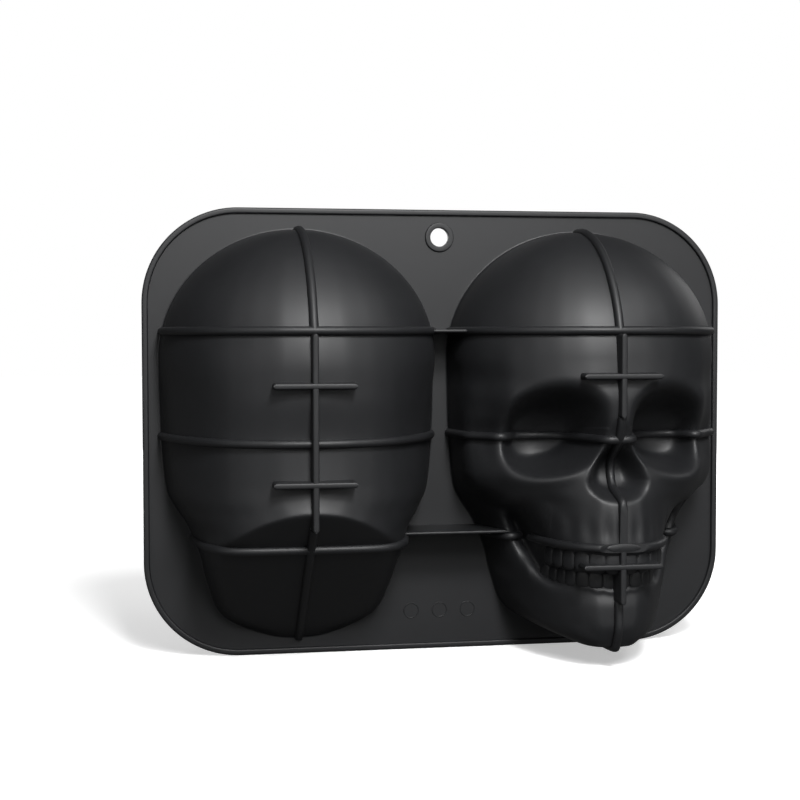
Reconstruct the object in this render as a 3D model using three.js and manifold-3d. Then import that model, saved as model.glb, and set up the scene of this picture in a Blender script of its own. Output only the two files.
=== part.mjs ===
import * as THREE from "three";
import Module from "manifold-3d";

const wasm = await Module();
wasm.setup();

// Driving dimensions, mm. Depth is measured forward from the front face of the deck.
const CLEARANCE = 0.3;
const MOULD_WIDTH = 350;
const MOULD_HEIGHT = 262.2;
const CORNER_RADIUS = 56;
const DECK_THICKNESS = 3;
const FOOT_REACH = 92;
const RIM_WIDTH = 4.2;
const RIM_RISE = 1.8;
const HOLE_DIAMETER = 11;
const EYELET_DIAMETER = 17.5;
const EYELET_RISE = 1.2;
const HOLE_BELOW_TOP = 16.2;
const SIDE_MARGIN = 9.8;
const SKULL_GAP = 9.2;
const TOP_MARGIN = 12.9;
const CHIN_MARGIN = 9.9;
const FOOT_STAND = 1.4;
const WALL = 2.5;
const BEAD_RADIUS = 2.8;
const BEAD_LIFT = 0.8;
const BEAD_STEP = 8;
const FIN_WIDTH = 3.4;
const FIN_ROOT = 30;
const CROSSBAR_LENGTH = 45;
const CROSSBAR_HEIGHT = 3.2;
const WEB_THICKNESS = 1.8;
const WEB_REACH = 32;
const FINISH = 0.06;
const SURFACE_FINISH = 0.3;

// The skulls are drawn at the size of the real mould, in the figures from here to the face details.
// Half widths of a cavity at the deck, as [level, half width] from the chin to the widest level and the top
const OUTLINE = [
  [9.9, 0], [10.15, 7], [10.7, 12], [11.8, 17], [13.2, 21.5], [15, 26.8], [17, 32], [20, 38],
  [24.5, 44.5], [31, 49], [40, 52], [50, 55], [60, 57.2], [71, 61.4], [79, 65], [88, 71],
  [98, 76], [108, 77.6], [120, 78.6], [130, 79.2], [150, 79.9], [175, 80.3], [249.3, 0],
];
const DRAWN_CHIN = OUTLINE[0][0];
const [[DRAWN_DOME, DRAWN_HALF], [DRAWN_TOP]] = OUTLINE.slice(-2);

// Sections across the cavities: level, then [distance from the middle, depth] pairs. The back of the head
// is the nearer of two surfaces, the skull above the neck muscles' ridge and the slope of the neck below it.
const BACK_UPPER = [
  [56, [[0, 92], [20, 90], [35, 84], [44, 72], [50, 56], [54, 34], [56.5, 0]]],
  [71, [[0, 86.5], [15, 85], [30, 79.5], [40, 71], [48, 60.5], [54, 48.5], [58, 31.5], [60.6, 14.5],
    [61.4, 0]]],
  [78, [[0, 86.2], [15, 84.8], [30, 79.2], [40.5, 70.8], [49, 59.8], [56, 45.5], [61, 28], [64, 12],
    [64.6, 0]]],
  [85, [[0, 86], [14, 84.8], [24, 81.5], [31, 77.6], [40, 71], [50, 60.5], [58, 47], [65, 27], [68, 12],
    [69, 0]]],
  [91.5, [[0, 85.6], [12, 84.6], [25, 80.4], [38, 73], [48, 64.3], [57, 52.5], [66, 33], [71, 15],
    [73.2, 0]]],
  [98, [[0, 84.8], [15, 83.3], [30, 78], [43, 69.8], [53, 59.8], [61, 48.5], [69, 31.5], [74, 14],
    [75.9, 0]]],
  [108, [[0, 83.8], [15, 82.4], [30, 77.3], [43, 69.5], [52, 61], [60, 50.5], [68, 36.5], [74, 21],
    [77.6, 0]]],
  [130, [[0, 83], [15, 81.7], [30, 77], [43, 69.3], [52, 61], [60, 50.5], [68, 36.5], [75, 20], [79.2, 0]]],
  [155, [[0, 86.2], [15, 84.8], [30, 80], [43, 72.4], [52, 64.3], [61, 53], [69, 39], [76, 22], [80, 0]]],
  [175, [[0, 87], [15, 85.5], [30, 80.7], [43, 73.5], [52, 66.3], [61, 56.5], [70, 42.6], [76, 28],
    [79, 15.6], [80.3, 0]]],
];
const BACK_LOWER = [
  [9.9, [[0, 0.6], [4, 0.3], [7, 0]]],
  [13.2, [[0, 4.6], [12, 4], [18, 2.2], [21.5, 0]]],
  [17, [[0, 9], [18, 8.4], [27, 5.6], [32, 0]]],
  [24.5, [[0, 17], [20, 16.5], [33, 14], [40, 9], [44.5, 0]]],
  [40, [[0, 33.5], [20, 33], [34, 31], [42, 26.5], [47, 19], [50.5, 9], [52, 0]]],
  [56, [[0, 50.5], [20, 50], [35, 48], [44, 43.5], [50, 34], [54, 20], [56.5, 0]]],
  [66, [[0, 61.5], [20, 61.2], [36, 59.8], [45, 55.5], [51.5, 46], [56, 31], [58.7, 14], [59.4, 0]]],
  [71, [[0, 65.9], [15, 65.8], [30, 65.3], [40, 63.5], [48, 58.5], [54, 48], [58, 31], [60.6, 14],
    [61.4, 0]]],
  [78, [[0, 73.2], [15, 73.1], [30, 72.7], [40, 71.5], [48, 67], [54, 58], [58, 48], [62, 32], [64.6, 0]]],
  [85, [[0, 80.6], [15, 80.5], [30, 80], [40, 79], [50, 74], [58, 62], [64, 44], [69, 0]]],
  [92.5, [[0, 88.4], [15, 88.3], [30, 88], [45, 85], [57, 74], [66, 55], [73.5, 0]]],
  [100, [[0, 96.2], [30, 96], [50, 90], [65, 70], [76.4, 0]]],
  [130, [[0, 126], [40, 122], [65, 95], [79.2, 0]]],
];
const NECK_RIDGE = { peak: 92.2, drop: 16.5, reach: 44, flare: 2.4, length: 5.5, round: 1.5 };
const FACE_SECTIONS = [
  [9.9, [[0, 76], [4, 75], [7, 70]]],
  [13.2, [[0, 76.8], [8, 75.5], [13, 71], [17, 62], [20, 45], [21.5, 20]]],
  [18, [[0, 79.4], [9, 78.2], [16, 74], [22, 66.5], [27, 57], [30.5, 44], [33, 26], [34, 12]]],
  [26, [[0, 82.2], [9, 81], [17, 75.8], [24, 68], [30, 58], [35, 47], [39.5, 35], [43.3, 21], [45.4, 8],
    [46, 0]]],
  [36, [[0, 82], [10, 80.8], [18, 76], [25, 68], [31, 58.5], [36, 48.5], [41, 37], [46, 24], [49.5, 10],
    [51, 0]]],
  [44, [[0, 79.8], [10, 78.8], [17, 75.4], [23, 69.8], [28, 63], [33, 55.5], [38, 46], [43, 35], [48, 22],
    [51.6, 9], [53, 0]]],
  [52, [[0, 79], [10, 78.1], [17, 74.4], [22.5, 67.4], [26.5, 58.5], [29.5, 50], [32, 44.2], [34.5, 42.8],
    [37.5, 43.8], [40.5, 42.5], [45, 33.5], [50, 19.5], [54, 6], [55.4, 0]]],
  [60, [[0, 85.2], [10, 84], [18, 79.4], [24, 72], [28.5, 63], [32, 51.5], [34, 42], [35.8, 35.4], [38, 32.8],
    [41, 33.4], [44.5, 32.6], [48, 28], [52, 19.5], [55, 8.5], [57.2, 0]]],
  [71, [[0, 90.6], [10, 89.4], [18, 84.8], [25, 77], [30, 68.5], [33.8, 58.5], [36.2, 46], [38, 34],
    [39.8, 26.6],
    [42, 24], [45.5, 25.4], [49, 25.6], [52.4, 22.8], [55.6, 16.5], [58.8, 8], [61.4, 0]]],
  [79, [[0, 89.6], [10, 88.2], [18, 83.2], [26, 75], [32, 66.5], [36.4, 58], [39.4, 47], [41.4, 35.5],
    [43.2, 27.4], [45.6, 23.2], [49, 22.6], [52.4, 22.2], [56, 18.6], [60.4, 10.5], [65, 0]]],
  [87, [[0, 89.2], [10, 87.6], [18, 82.6], [26, 75], [33, 67.5], [39, 59.5], [43.6, 50], [47, 39.5], [50, 31],
    [53.4, 26], [57.4, 22.4], [62, 16], [67, 7.5], [70.3, 0]]],
  [93, [[0, 88.4], [10, 87], [17, 83], [26, 76], [34, 67.8], [42, 61], [49, 52.5], [55, 43], [60, 33],
    [64, 24],
    [68, 15.5], [72, 7], [73.8, 0]]],
  [100, [[0, 86.6], [10, 85.6], [17, 82.4], [27, 76.6], [37, 69.6], [47, 62], [56, 52], [64, 41.5],
    [70, 31.5],
    [74, 17], [76.4, 0]]],
  [108, [[0, 85.4], [10, 84.2], [19, 80.6], [31, 75], [42, 69], [52, 60.5], [61, 50], [69, 39.5],
    [74.6, 28.5],
    [76.6, 12], [77.6, 0]]],
  [119, [[0, 83.2], [9, 81.8], [19, 78], [32, 72.5], [44, 65], [55, 54.5], [64, 43.5], [70.5, 36], [75, 28],
    [77.6, 12], [78.5, 0]]],
  [130, [[0, 82.8], [8, 81.6], [17, 77.8], [30, 72.2], [43, 64], [54, 53], [63, 42.5], [70, 35], [75, 27],
    [78, 12], [79.2, 0]]],
  [142, [[0, 86.4], [9, 85.9], [20, 83.6], [32, 79], [44, 71.4], [54, 61.5], [63, 50], [70, 40.5], [75.4, 29],
    [78.6, 13], [79.6, 0]]],
  [152, [[0, 87.2], [10, 86.8], [22, 84.6], [35, 79.6], [47, 71.4], [57, 60.8], [66, 48.5], [73, 35.5],
    [78, 18],
    [79.9, 0]]],
  [163, [[0, 85.8], [12, 85], [25, 81.8], [38, 75.6], [50, 66.4], [60, 55], [69, 41], [76, 24], [80.1, 0]]],
  [175, [[0, 83.8], [15, 82.3], [30, 77.7], [43, 70.8], [52, 63.8], [61, 54.4], [70, 41], [76, 27], [79, 15],
    [80.3, 0]]],
];

const DRAWN_DEPTH = Math.max(...FACE_SECTIONS.map(([, pairs]) => pairs[0][1]));

// Face details, drawn like the sections
const SOCKET = {
  across: 34.4, level: 131, half: 22.8, up: 20.5, down: 20.5, droop: 0.2, deep: 25,
  floor: 0.46, edge: 1.1, brow: 0.26, dish: 3.6, rim: 1.6,
};
const TEMPLE = { across: 67.5, level: 142, half: 8, tall: 26, deep: 4.2 };
const NOSE = { level: 105, half: 16.8, up: 24.5, down: 9.8, deep: 22, pinch: 0.5 };
const BRANCH = {
  line: [[56.5, 86], [54.5, 79], [52, 72], [47.5, 63], [43, 55], [37, 48]],
  out: [5, 5, 4.2, 3, 1.8, 0],
  half: 4.6,
};
const TOOTH_EDGES = [0, 8.4, 15.4, 21.3, 26, 29.6, 32.2, 34.2, 36];
const TOOTH_OUT = 2.4;
const MOUTH_TOP = 92;
const UPPER_TEETH = [63.2, 5];
const LOWER_TEETH = [51.4, 5];

// Each drawn place is scaled across by the width, in level by the height and in depth by the reach
const DOME_HALF = (MOULD_WIDTH - 2 * SIDE_MARGIN - SKULL_GAP) / 4;
const SKULL_SPACING = 2 * DOME_HALF + SKULL_GAP;
const ACROSS_SCALE = DOME_HALF / DRAWN_HALF;
const LEVEL_SCALE = (MOULD_HEIGHT - TOP_MARGIN - CHIN_MARGIN) / (DRAWN_TOP - DRAWN_CHIN);
const DEPTH_SCALE = (FOOT_REACH - FOOT_STAND) / DRAWN_DEPTH;
const levelOf = (drawn) => CHIN_MARGIN + (drawn - DRAWN_CHIN) * LEVEL_SCALE;
const drawnLevel = (level) => DRAWN_CHIN + (level - CHIN_MARGIN) / LEVEL_SCALE;

// Heights of the bead lines and of the foot strips above the bottom edge of the mould
const CROWN_LINE = levelOf(190.3);
const MIDDLE_LINE = levelOf(129.8);
const LOWER_LINE = levelOf(70.6);
const LOWER_WEB = LOWER_LINE + BEAD_RADIUS;
const BACK_FOOT = [83, 188.6].map(levelOf);
const BACK_BARS = [160.9, 108.3].map(levelOf);
const FOREHEAD_FOOT = [142, 188.6].map(levelOf);
const FOREHEAD_BARS = [165.1].map(levelOf);
const MOUTH_FOOT = [39.1, 67.2].map(levelOf);
const MOUTH_BARS = [60].map(levelOf);

// The lip bead ends in the hollow beside the teeth and starts again on the jaw branch behind it
const JAW_HOLLOW = 38.4 * ACROSS_SCALE;
const JAW_BRANCH = 42.6 * ACROSS_SCALE;
const JAW_RIDGE = 50.5 * ACROSS_SCALE;

// The part's frame: centred in x and y, bottom edge at z 0
const DECK_FACE = (FOOT_REACH + DECK_THICKNESS) / 2 - DECK_THICKNESS;
const HOLE_LEVEL = MOULD_HEIGHT - HOLE_BELOW_TOP;
const DOME_TOP = MOULD_HEIGHT - TOP_MARGIN;
const STAR_LEVEL = levelOf(128);

// Smooth curve through points given in rising order of their first number
function curveThrough(points, flatStart, flatEnd) {
  const n = points.length;
  const slope = [];
  for (let i = 0; i < n - 1; i++) {
    slope.push((points[i + 1][1] - points[i][1]) / (points[i + 1][0] - points[i][0]));
  }
  const tangent = [flatStart ? 0 : slope[0]];
  for (let i = 1; i < n - 1; i++) {
    const a = slope[i - 1];
    const b = slope[i];
    tangent.push(a * b <= 0 ? 0 : (2 * a * b) / (a + b));
  }
  tangent.push(flatEnd ? 0 : slope[n - 2]);
  return (t) => {
    if (t <= points[0][0]) return points[0][1];
    if (t >= points[n - 1][0]) return points[n - 1][1];
    let k = 0;
    while (t > points[k + 1][0]) k++;
    const h = points[k + 1][0] - points[k][0];
    const s = (t - points[k][0]) / h;
    const a = (1 + 2 * s) * (1 - s) * (1 - s);
    const b = s * s * (3 - 2 * s);
    const c = s * (1 - s) * (1 - s) * h;
    const d = s * s * (s - 1) * h;
    return a * points[k][1] + b * points[k + 1][1] + c * tangent[k] + d * tangent[k + 1];
  };
}

// These read the drawing: half widths and depths at a drawn distance from the middle and a drawn level
const outlineCurve = curveThrough(OUTLINE.slice(0, -1), false, true);
function domeShare(level) {
  const s = (level - DRAWN_DOME) / (DRAWN_TOP - DRAWN_DOME);
  return s <= 0 ? 1 : Math.sqrt(Math.max(0, 1 - s * s));
}
function drawnHalf(level) {
  if (level >= DRAWN_DOME) return DRAWN_HALF * domeShare(level);
  return Math.max(0, outlineCurve(level));
}

// A cavity's depth at any place, from its sections: each is read at the same share of the half width
const COLUMNS = 120;
function baseDepth(sections) {
  const levels = sections.map((s) => s[0]);
  const rows = sections.map(([, pairs]) => {
    const curve = curveThrough(pairs, true, false);
    const reach = pairs[pairs.length - 1][0];
    const row = [];
    for (let j = 0; j <= COLUMNS; j++) row.push(curve(reach * Math.sin((j / COLUMNS) * (Math.PI / 2))));
    return row;
  });
  const curves = [];
  for (let j = 0; j <= COLUMNS; j++) {
    curves.push(curveThrough(levels.map((level, k) => [level, rows[k][j]]), false, true));
  }
  return (across, level) => {
    const half = drawnHalf(level);
    if (half <= 0) return 0;
    const share = Math.min(1, Math.abs(across) / half);
    const place = (Math.asin(share) / (Math.PI / 2)) * COLUMNS;
    const j = Math.min(COLUMNS - 1, Math.floor(place));
    const at = Math.min(level, DRAWN_DOME);
    const depth = curves[j](at) * (1 - place + j) + curves[j + 1](at) * (place - j);
    return Math.max(0, depth) * domeShare(level);
  };
}
const upperBase = baseDepth(BACK_UPPER);
const lowerBase = baseDepth(BACK_LOWER);
const faceBase = baseDepth(FACE_SECTIONS);

const limit = (v) => Math.min(1, Math.max(0, v));
const smooth = (s) => s * s * (3 - 2 * s);
const bump = (distance, half) => Math.exp(-((distance / half) ** 2));

function backDepth(across, level) {
  const lower = lowerBase(across, level);
  const start = BACK_UPPER[0][0];
  if (level < start) return lower;
  const ridge = NECK_RIDGE.peak - NECK_RIDGE.drop * (across / NECK_RIDGE.reach) ** 2;
  const flare = NECK_RIDGE.flare * Math.exp(-Math.max(0, level - ridge) / NECK_RIDGE.length);
  const skull = upperBase(across, level) + flare * limit((58 - across) / 16);
  const neck = lower + Math.max(0, level - BACK_LOWER[BACK_LOWER.length - 1][0]);
  const round = NECK_RIDGE.round * limit(Math.min(skull, neck) / 30);
  return (skull + neck - Math.hypot(skull - neck, round)) / 2;
}

// How much a tooth stands out at this place, 0 in the gap between two teeth
function toothShare(across, level) {
  let k = 0;
  while (k < TOOTH_EDGES.length - 2 && across > TOOTH_EDGES[k + 1]) k++;
  const s = (across - TOOTH_EDGES[k]) / (TOOTH_EDGES[k + 1] - TOOTH_EDGES[k]);
  if (s > 1) return 0;
  const round = 1 - Math.abs(2 * s - 1) ** 3;
  let tall = 0;
  for (const [middle, half] of [UPPER_TEETH, LOWER_TEETH]) {
    tall += Math.max(0, 1 - Math.abs((level - middle) / half) ** 4);
  }
  return round * tall;
}

function socketCut(across, level) {
  const droop = SOCKET.droop * (across - SOCKET.across);
  let up = level - SOCKET.level + droop;
  if (up > 0) up = Math.max(0, up - 0.7 * droop);
  const dx = (across - SOCKET.across) / SOCKET.half;
  const dz = up / (up > 0 ? SOCKET.up : SOCKET.down);
  const q = (Math.abs(dx) ** 2.5 + Math.abs(dz) ** 2.5) ** (1 / 2.5);
  const upness = limit(dz / Math.max(q, 0.2)) ** 1.5;
  const inward = limit(-dx / Math.max(q, 0.2)) ** 2;
  const start = SOCKET.floor - 0.12 * upness - 0.1 * inward;
  const end = SOCKET.edge + SOCKET.brow * upness + 0.14 * inward;
  const cut = SOCKET.deep * (1 - smooth(limit((q - start) / (end - start))));
  const dish = SOCKET.dish * limit(1 - (q / 0.75) ** 2) ** 1.5;
  return cut + dish - SOCKET.rim * bump(q - 1.12, 0.17) * limit(0.5 - dz) * limit((across - 16) / 14);
}
function noseCut(across, level) {
  const up = level - NOSE.level;
  const rise = limit(up / NOSE.up);
  const nx = across / (NOSE.half * (1 - NOSE.pinch * rise));
  const nz = up / (up > 0 ? NOSE.up : NOSE.down);
  return NOSE.deep * (1 - smooth(limit((Math.hypot(nx, nz) - 0.52) / 0.5)));
}
function branchRise(across, level) {
  let rise = 0;
  for (let i = 1; i < BRANCH.line.length; i++) {
    const [ax, az] = BRANCH.line[i - 1];
    const [dx, dz] = [BRANCH.line[i][0] - ax, BRANCH.line[i][1] - az];
    const s = limit(((across - ax) * dx + (level - az) * dz) / (dx * dx + dz * dz));
    const away = Math.hypot(across - ax - s * dx, level - az - s * dz);
    const out = BRANCH.out[i - 1] + (BRANCH.out[i] - BRANCH.out[i - 1]) * s;
    rise = Math.max(rise, out * bump(away, BRANCH.half));
  }
  return rise;
}
function faceDepth(across, level) {
  const out = TOOTH_OUT * toothShare(across, level);
  const turn = Math.min(1, across / 30) ** 2;
  let depth = faceBase(Math.max(0, across - 0.8 * out * turn), level) + out * (1 - 0.6 * turn);
  const edge = limit((level - DRAWN_CHIN) / 3.2);
  depth *= Math.sqrt(1 - (1 - edge) ** 2);
  depth -= socketCut(across, level) + noseCut(across, level);
  depth -= TEMPLE.deep * bump(across - TEMPLE.across, TEMPLE.half) * bump(level - TEMPLE.level, TEMPLE.tall);
  return Math.max(0, depth + branchRise(across, level));
}

// From here on sizes are real: the drawing at the scale of the driving dimensions
function halfWidth(level) {
  return drawnHalf(drawnLevel(level)) * ACROSS_SCALE;
}
function scaled(depth) {
  return (x, level) => depth(Math.abs(x) / ACROSS_SCALE, drawnLevel(level)) * DEPTH_SCALE;
}
const BACK = { middle: -SKULL_SPACING / 2, depth: scaled(backDepth) };
const FACE = { middle: SKULL_SPACING / 2, depth: scaled(faceDepth) };

// Solids
function place(x, depth, z) {
  return [x, DECK_FACE - depth, z];
}
function solidOf(points, faces) {
  const make = (list) => new wasm.Manifold(new wasm.Mesh({
    numProp: 3,
    vertProperties: new Float32Array(points.flat()),
    triVerts: new Uint32Array(list.flat()),
  }));
  const made = make(faces);
  return made.volume() > 0 ? made : make(faces.map(([a, b, c]) => [a, c, b]));
}
function solidOfGeometry(geometry, x, depth, z) {
  const position = geometry.getAttribute("position");
  const seen = new Map();
  const points = [];
  const index = [];
  for (let i = 0; i < position.count; i++) {
    const p = [position.getX(i), position.getY(i), position.getZ(i)];
    const key = p.map((v) => Math.round(v * 1e4)).join(",");
    if (!seen.has(key)) {
      seen.set(key, points.length);
      const [a, b, c] = place(x, depth, z);
      points.push([p[0] + a, p[1] + b, p[2] + c]);
    }
    index.push(seen.get(key));
  }
  const faces = [];
  const corner = geometry.index ? geometry.index.array : index.map((_, i) => i);
  for (let i = 0; i < corner.length; i += 3) {
    const f = [index[corner[i]], index[corner[i + 1]], index[corner[i + 2]]];
    if (f[0] !== f[1] && f[1] !== f[2] && f[0] !== f[2]) faces.push(f);
  }
  return solidOf(points, faces);
}
function box(x0, x1, d0, d1, z0, z1) {
  const shape = new THREE.BoxGeometry(x1 - x0, d1 - d0, z1 - z0);
  return solidOfGeometry(shape, (x0 + x1) / 2, (d0 + d1) / 2, (z0 + z1) / 2);
}
// A flat outline in x and z, run from one depth to another
function slab(outline, d0, d1, steps) {
  const run = { depth: d1 - d0, bevelEnabled: false, curveSegments: steps };
  const shape = new THREE.ExtrudeGeometry(outline, run);
  shape.rotateX(Math.PI / 2);
  return solidOfGeometry(shape, 0, d0, 0);
}

// A star of rays from the middle of a cavity at the deck; the rays are closer together over the mouth
function rayAngles(count, mouth) {
  const half = [];
  for (let i = 0; i <= count / 2; i++) {
    const s = i / (count / 2);
    half.push(Math.PI * (s - mouth * Math.sin(Math.PI * s * 2) / (2 * Math.PI) - mouth * 0.5 * s * (1 - s)));
  }
  const all = half.map((a) => a - Math.PI / 2);
  for (let i = half.length - 2; i > 0; i--) all.push(-Math.PI / 2 - half[i]);
  return all;
}
function reachOf(angle) {
  const cos = Math.cos(angle);
  const sin = Math.sin(angle);
  let low = 0;
  let high = MOULD_HEIGHT;
  for (let i = 0; i < 40; i++) {
    const r = (low + high) / 2;
    const level = STAR_LEVEL + r * sin;
    const inside = level > CHIN_MARGIN && level < DOME_TOP && Math.abs(r * cos) < halfWidth(level);
    if (inside) low = r;
    else high = r;
  }
  return low;
}
// Shares of the reach along one ray that give equal steps along the surface
function rayShares(half, angle, reach, count) {
  const fine = 240;
  const points = [];
  let length = 0;
  for (let i = 0; i <= fine; i++) {
    const share = Math.sin((i / fine) * (Math.PI / 2));
    const x = reach * share * Math.cos(angle);
    const z = STAR_LEVEL + reach * share * Math.sin(angle);
    const depth = i === fine ? 0 : half.depth(x, z);
    if (i) {
      const last = points[i - 1];
      length += Math.hypot(x - last.x, z - last.z, depth - last.depth);
    }
    points.push({ share, x, z, depth, length });
  }
  const out = [];
  let k = 0;
  for (let j = 1; j <= count; j++) {
    const want = (length * j) / count;
    while (k < fine - 1 && points[k + 1].length < want) k++;
    const a = points[k];
    const b = points[k + 1];
    const s = Math.min(1, (want - a.length) / Math.max(1e-9, b.length - a.length));
    out.push(a.share + (b.share - a.share) * s);
  }
  return out;
}
function surfaceGrid(half, angles, count) {
  const reaches = angles.map(reachOf);
  let shares = angles.map((angle, i) => rayShares(half, angle, reaches[i], count));
  const n = angles.length;
  for (let pass = 0; pass < 9; pass++) {
    shares = shares.map((own, i) => own.map((v, j) => {
      return v / 2 + (shares[(i + 1) % n][j] + shares[(i + n - 1) % n][j]) / 4;
    }));
  }
  return angles.map((angle, i) => ({
    reach: reaches[i],
    out: shares[i].map((share, j) => {
      const x = reaches[i] * share * Math.cos(angle);
      const z = STAR_LEVEL + reaches[i] * share * Math.sin(angle);
      return { share, x, z, depth: j === count - 1 ? 0 : half.depth(x, z) };
    }),
  }));
}
// The inside of a shell: the deepest surface that stays a wall's thickness from the outside
function insideDepth(half, wall, wide) {
  return (x, z) => {
    const width = drawnLevel(z) < MOUTH_TOP ? wide : wall;
    let depth = half.depth(x, z) - wall;
    for (const share of [0.5, 0.8, 0.97]) {
      const drop = wall * Math.sqrt(1 - share * share);
      for (let i = 0; i < 12; i++) {
        const a = (i * Math.PI) / 6;
        const at = half.depth(x + width * share * Math.cos(a), z + width * share * Math.sin(a));
        depth = Math.min(depth, at - drop);
      }
    }
    return Math.max(0, depth - (width - wall) / 2);
  };
}
// The body under a cavity's surface, thinned inwards by thin, from a fine grid that is then eased
function cavityBody(half, [raysWanted, ringsWanted, mouth], thin, back, finish) {
  const rings = Math.round(ringsWanted);
  const angles = rayAngles(2 * Math.round(raysWanted / 2), mouth);
  const n = angles.length;
  const points = [place(half.middle, half.depth(0, STAR_LEVEL), STAR_LEVEL)];
  const grid = surfaceGrid(half, angles, rings);
  for (let j = 0; j < rings; j++) {
    grid.forEach(({ reach, out }, i) => {
      const p = out[j];
      const r = (reach - thin) * p.share;
      const x = r * Math.cos(angles[i]);
      const z = r * Math.sin(angles[i]) + STAR_LEVEL;
      points.push(place(half.middle + x, thin && j < rings - 1 ? half.depth(x, z) : p.depth, z));
    });
  }
  grid.forEach(({ reach }, i) => {
    const r = reach - thin;
    points.push(place(half.middle + r * Math.cos(angles[i]), -back, STAR_LEVEL + r * Math.sin(angles[i])));
  });
  points.push(place(half.middle, -back, STAR_LEVEL));
  const faces = [];
  // A four-sided patch is split along the diagonal that lies nearer to the surface
  const miss = (k, m) => {
    const [x, y, z] = points[k].map((v, axis) => (v + points[m][axis]) / 2);
    return Math.abs(DECK_FACE - y - half.depth(x - half.middle, z));
  };
  for (let i = 0; i < n; i++) {
    const next = (i + 1) % n;
    faces.push([0, 1 + i, 1 + next]);
    for (let j = 0; j < rings; j++) {
      const a = 1 + j * n;
      const b = a + n;
      const crossed = j < rings - 1 && miss(b + i, a + next) < miss(a + i, b + next);
      if (crossed) faces.push([a + i, b + i, a + next], [b + i, b + next, a + next]);
      else faces.push([a + i, b + i, b + next], [a + i, b + next, a + next]);
    }
    faces.push([points.length - 1, 1 + rings * n + next, 1 + rings * n + i]);
  }
  return solidOf(points, faces).simplify(finish);
}
// Each point of a body moved out along the mean direction of the faces round it
function pushOut(solid, grow) {
  const { numProp, vertProperties, triVerts } = solid.getMesh();
  const points = [];
  for (let i = 0; i < vertProperties.length; i += numProp) points.push([...vertProperties.slice(i, i + 3)]);
  const faces = [];
  for (let i = 0; i < triVerts.length; i += 3) faces.push([...triVerts.slice(i, i + 3)]);
  const mean = points.map(() => new THREE.Vector3());
  const [a, b, c] = [new THREE.Vector3(), new THREE.Vector3(), new THREE.Vector3()];
  for (const f of faces) {
    a.fromArray(points[f[0]]);
    b.fromArray(points[f[1]]).sub(a);
    c.fromArray(points[f[2]]).sub(a);
    const turned = b.cross(c);
    f.forEach((k) => mean[k].add(turned));
  }
  const moved = points.map((p, i) => {
    const m = mean[i].normalize();
    return p.map((v, k) => v + m.getComponent(k) * grow);
  });
  return solidOf(moved, faces);
}

// A round bead run along points in a plane; the side vector stands across that plane
function beadAlong(path, side, radius) {
  const sides = 8;
  const points = [];
  path.forEach((p, i) => {
    const a = path[Math.max(0, i - 1)];
    const b = path[Math.min(path.length - 1, i + 1)];
    const along = new THREE.Vector3(...b).sub(new THREE.Vector3(...a)).normalize();
    const out = new THREE.Vector3().crossVectors(along, side).normalize();
    for (let k = 0; k < sides; k++) {
      const t = (2 * Math.PI * k) / sides;
      const at = new THREE.Vector3(...p).addScaledVector(out, radius * Math.cos(t));
      at.addScaledVector(side, radius * Math.sin(t));
      points.push([at.x, at.y, at.z]);
    }
  });
  const faces = [];
  for (let i = 0; i < path.length - 1; i++) {
    for (let k = 0; k < sides; k++) {
      const a = i * sides + k;
      const b = i * sides + ((k + 1) % sides);
      faces.push([a, b, b + sides], [a, b + sides, a + sides]);
    }
  }
  const last = (path.length - 1) * sides;
  for (let k = 1; k < sides - 1; k++) faces.push([0, k + 1, k], [last, last + k, last + k + 1]);
  return solidOf(points, faces);
}
// Evenly spaced places of a line over the surface
function spread(fine, step) {
  const lengths = [0];
  for (let i = 1; i < fine.length; i++) {
    const d = Math.hypot(...fine[i].map((v, k) => v - fine[i - 1][k]));
    lengths.push(lengths[i - 1] + d);
  }
  const total = lengths[lengths.length - 1];
  const count = Math.max(2, Math.round(total / step));
  const out = [];
  let k = 0;
  for (let j = 0; j <= count; j++) {
    const want = (total * j) / count;
    while (k < fine.length - 2 && lengths[k + 1] < want) k++;
    const s = (want - lengths[k]) / Math.max(1e-9, lengths[k + 1] - lengths[k]);
    out.push(fine[k].map((v, m) => v + (fine[k + 1][m] - v) * Math.min(1, s)));
  }
  return out;
}
// On a steep wall a bead lies a little higher than the surface, so that the shell doesn't swallow it
function crest(half, x, level) {
  const own = half.depth(x, level);
  const beside = Math.max(half.depth(x - BEAD_RADIUS, level), half.depth(x + BEAD_RADIUS, level));
  return own + Math.min(BEAD_LIFT, Math.max(0, beside - own) / 4);
}
function acrossLine(half, level, from, to) {
  const reach = halfWidth(level);
  const fine = [];
  if (from <= -reach) fine.push(place(half.middle - reach, -DECK_THICKNESS / 2, level));
  for (let i = 0; i <= 400; i++) {
    const x = reach * Math.sin((i / 200 - 1) * (Math.PI / 2));
    if (x >= from && x <= to) fine.push(place(half.middle + x, i % 400 ? crest(half, x, level) : 0, level));
  }
  if (to >= reach) fine.push(place(half.middle + reach, -DECK_THICKNESS / 2, level));
  return spread(fine, half === FACE && level === MIDDLE_LINE ? BEAD_STEP / 2 : BEAD_STEP);
}
function middleLine(half, low, high) {
  const fine = [];
  if (low <= CHIN_MARGIN) fine.push(place(half.middle, -DECK_THICKNESS / 2, low));
  for (let i = 0; i <= 300; i++) {
    const s = (1 - Math.cos((i / 300) * Math.PI)) / 2;
    const z = low + (high - low) * s;
    fine.push(place(half.middle, half.depth(0, z), z));
  }
  if (high >= DOME_TOP) fine.push(place(half.middle, -DECK_THICKNESS / 2, high));
  return spread(fine, half === FACE ? BEAD_STEP / 2 : BEAD_STEP);
}
const UP = new THREE.Vector3(0, 0, 1);
const SIDEWAYS = new THREE.Vector3(1, 0, 0);
const frontOfDeck = (solid) => solid.trimByPlane([0, -1, 0], -(DECK_FACE - CLEARANCE));
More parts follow.
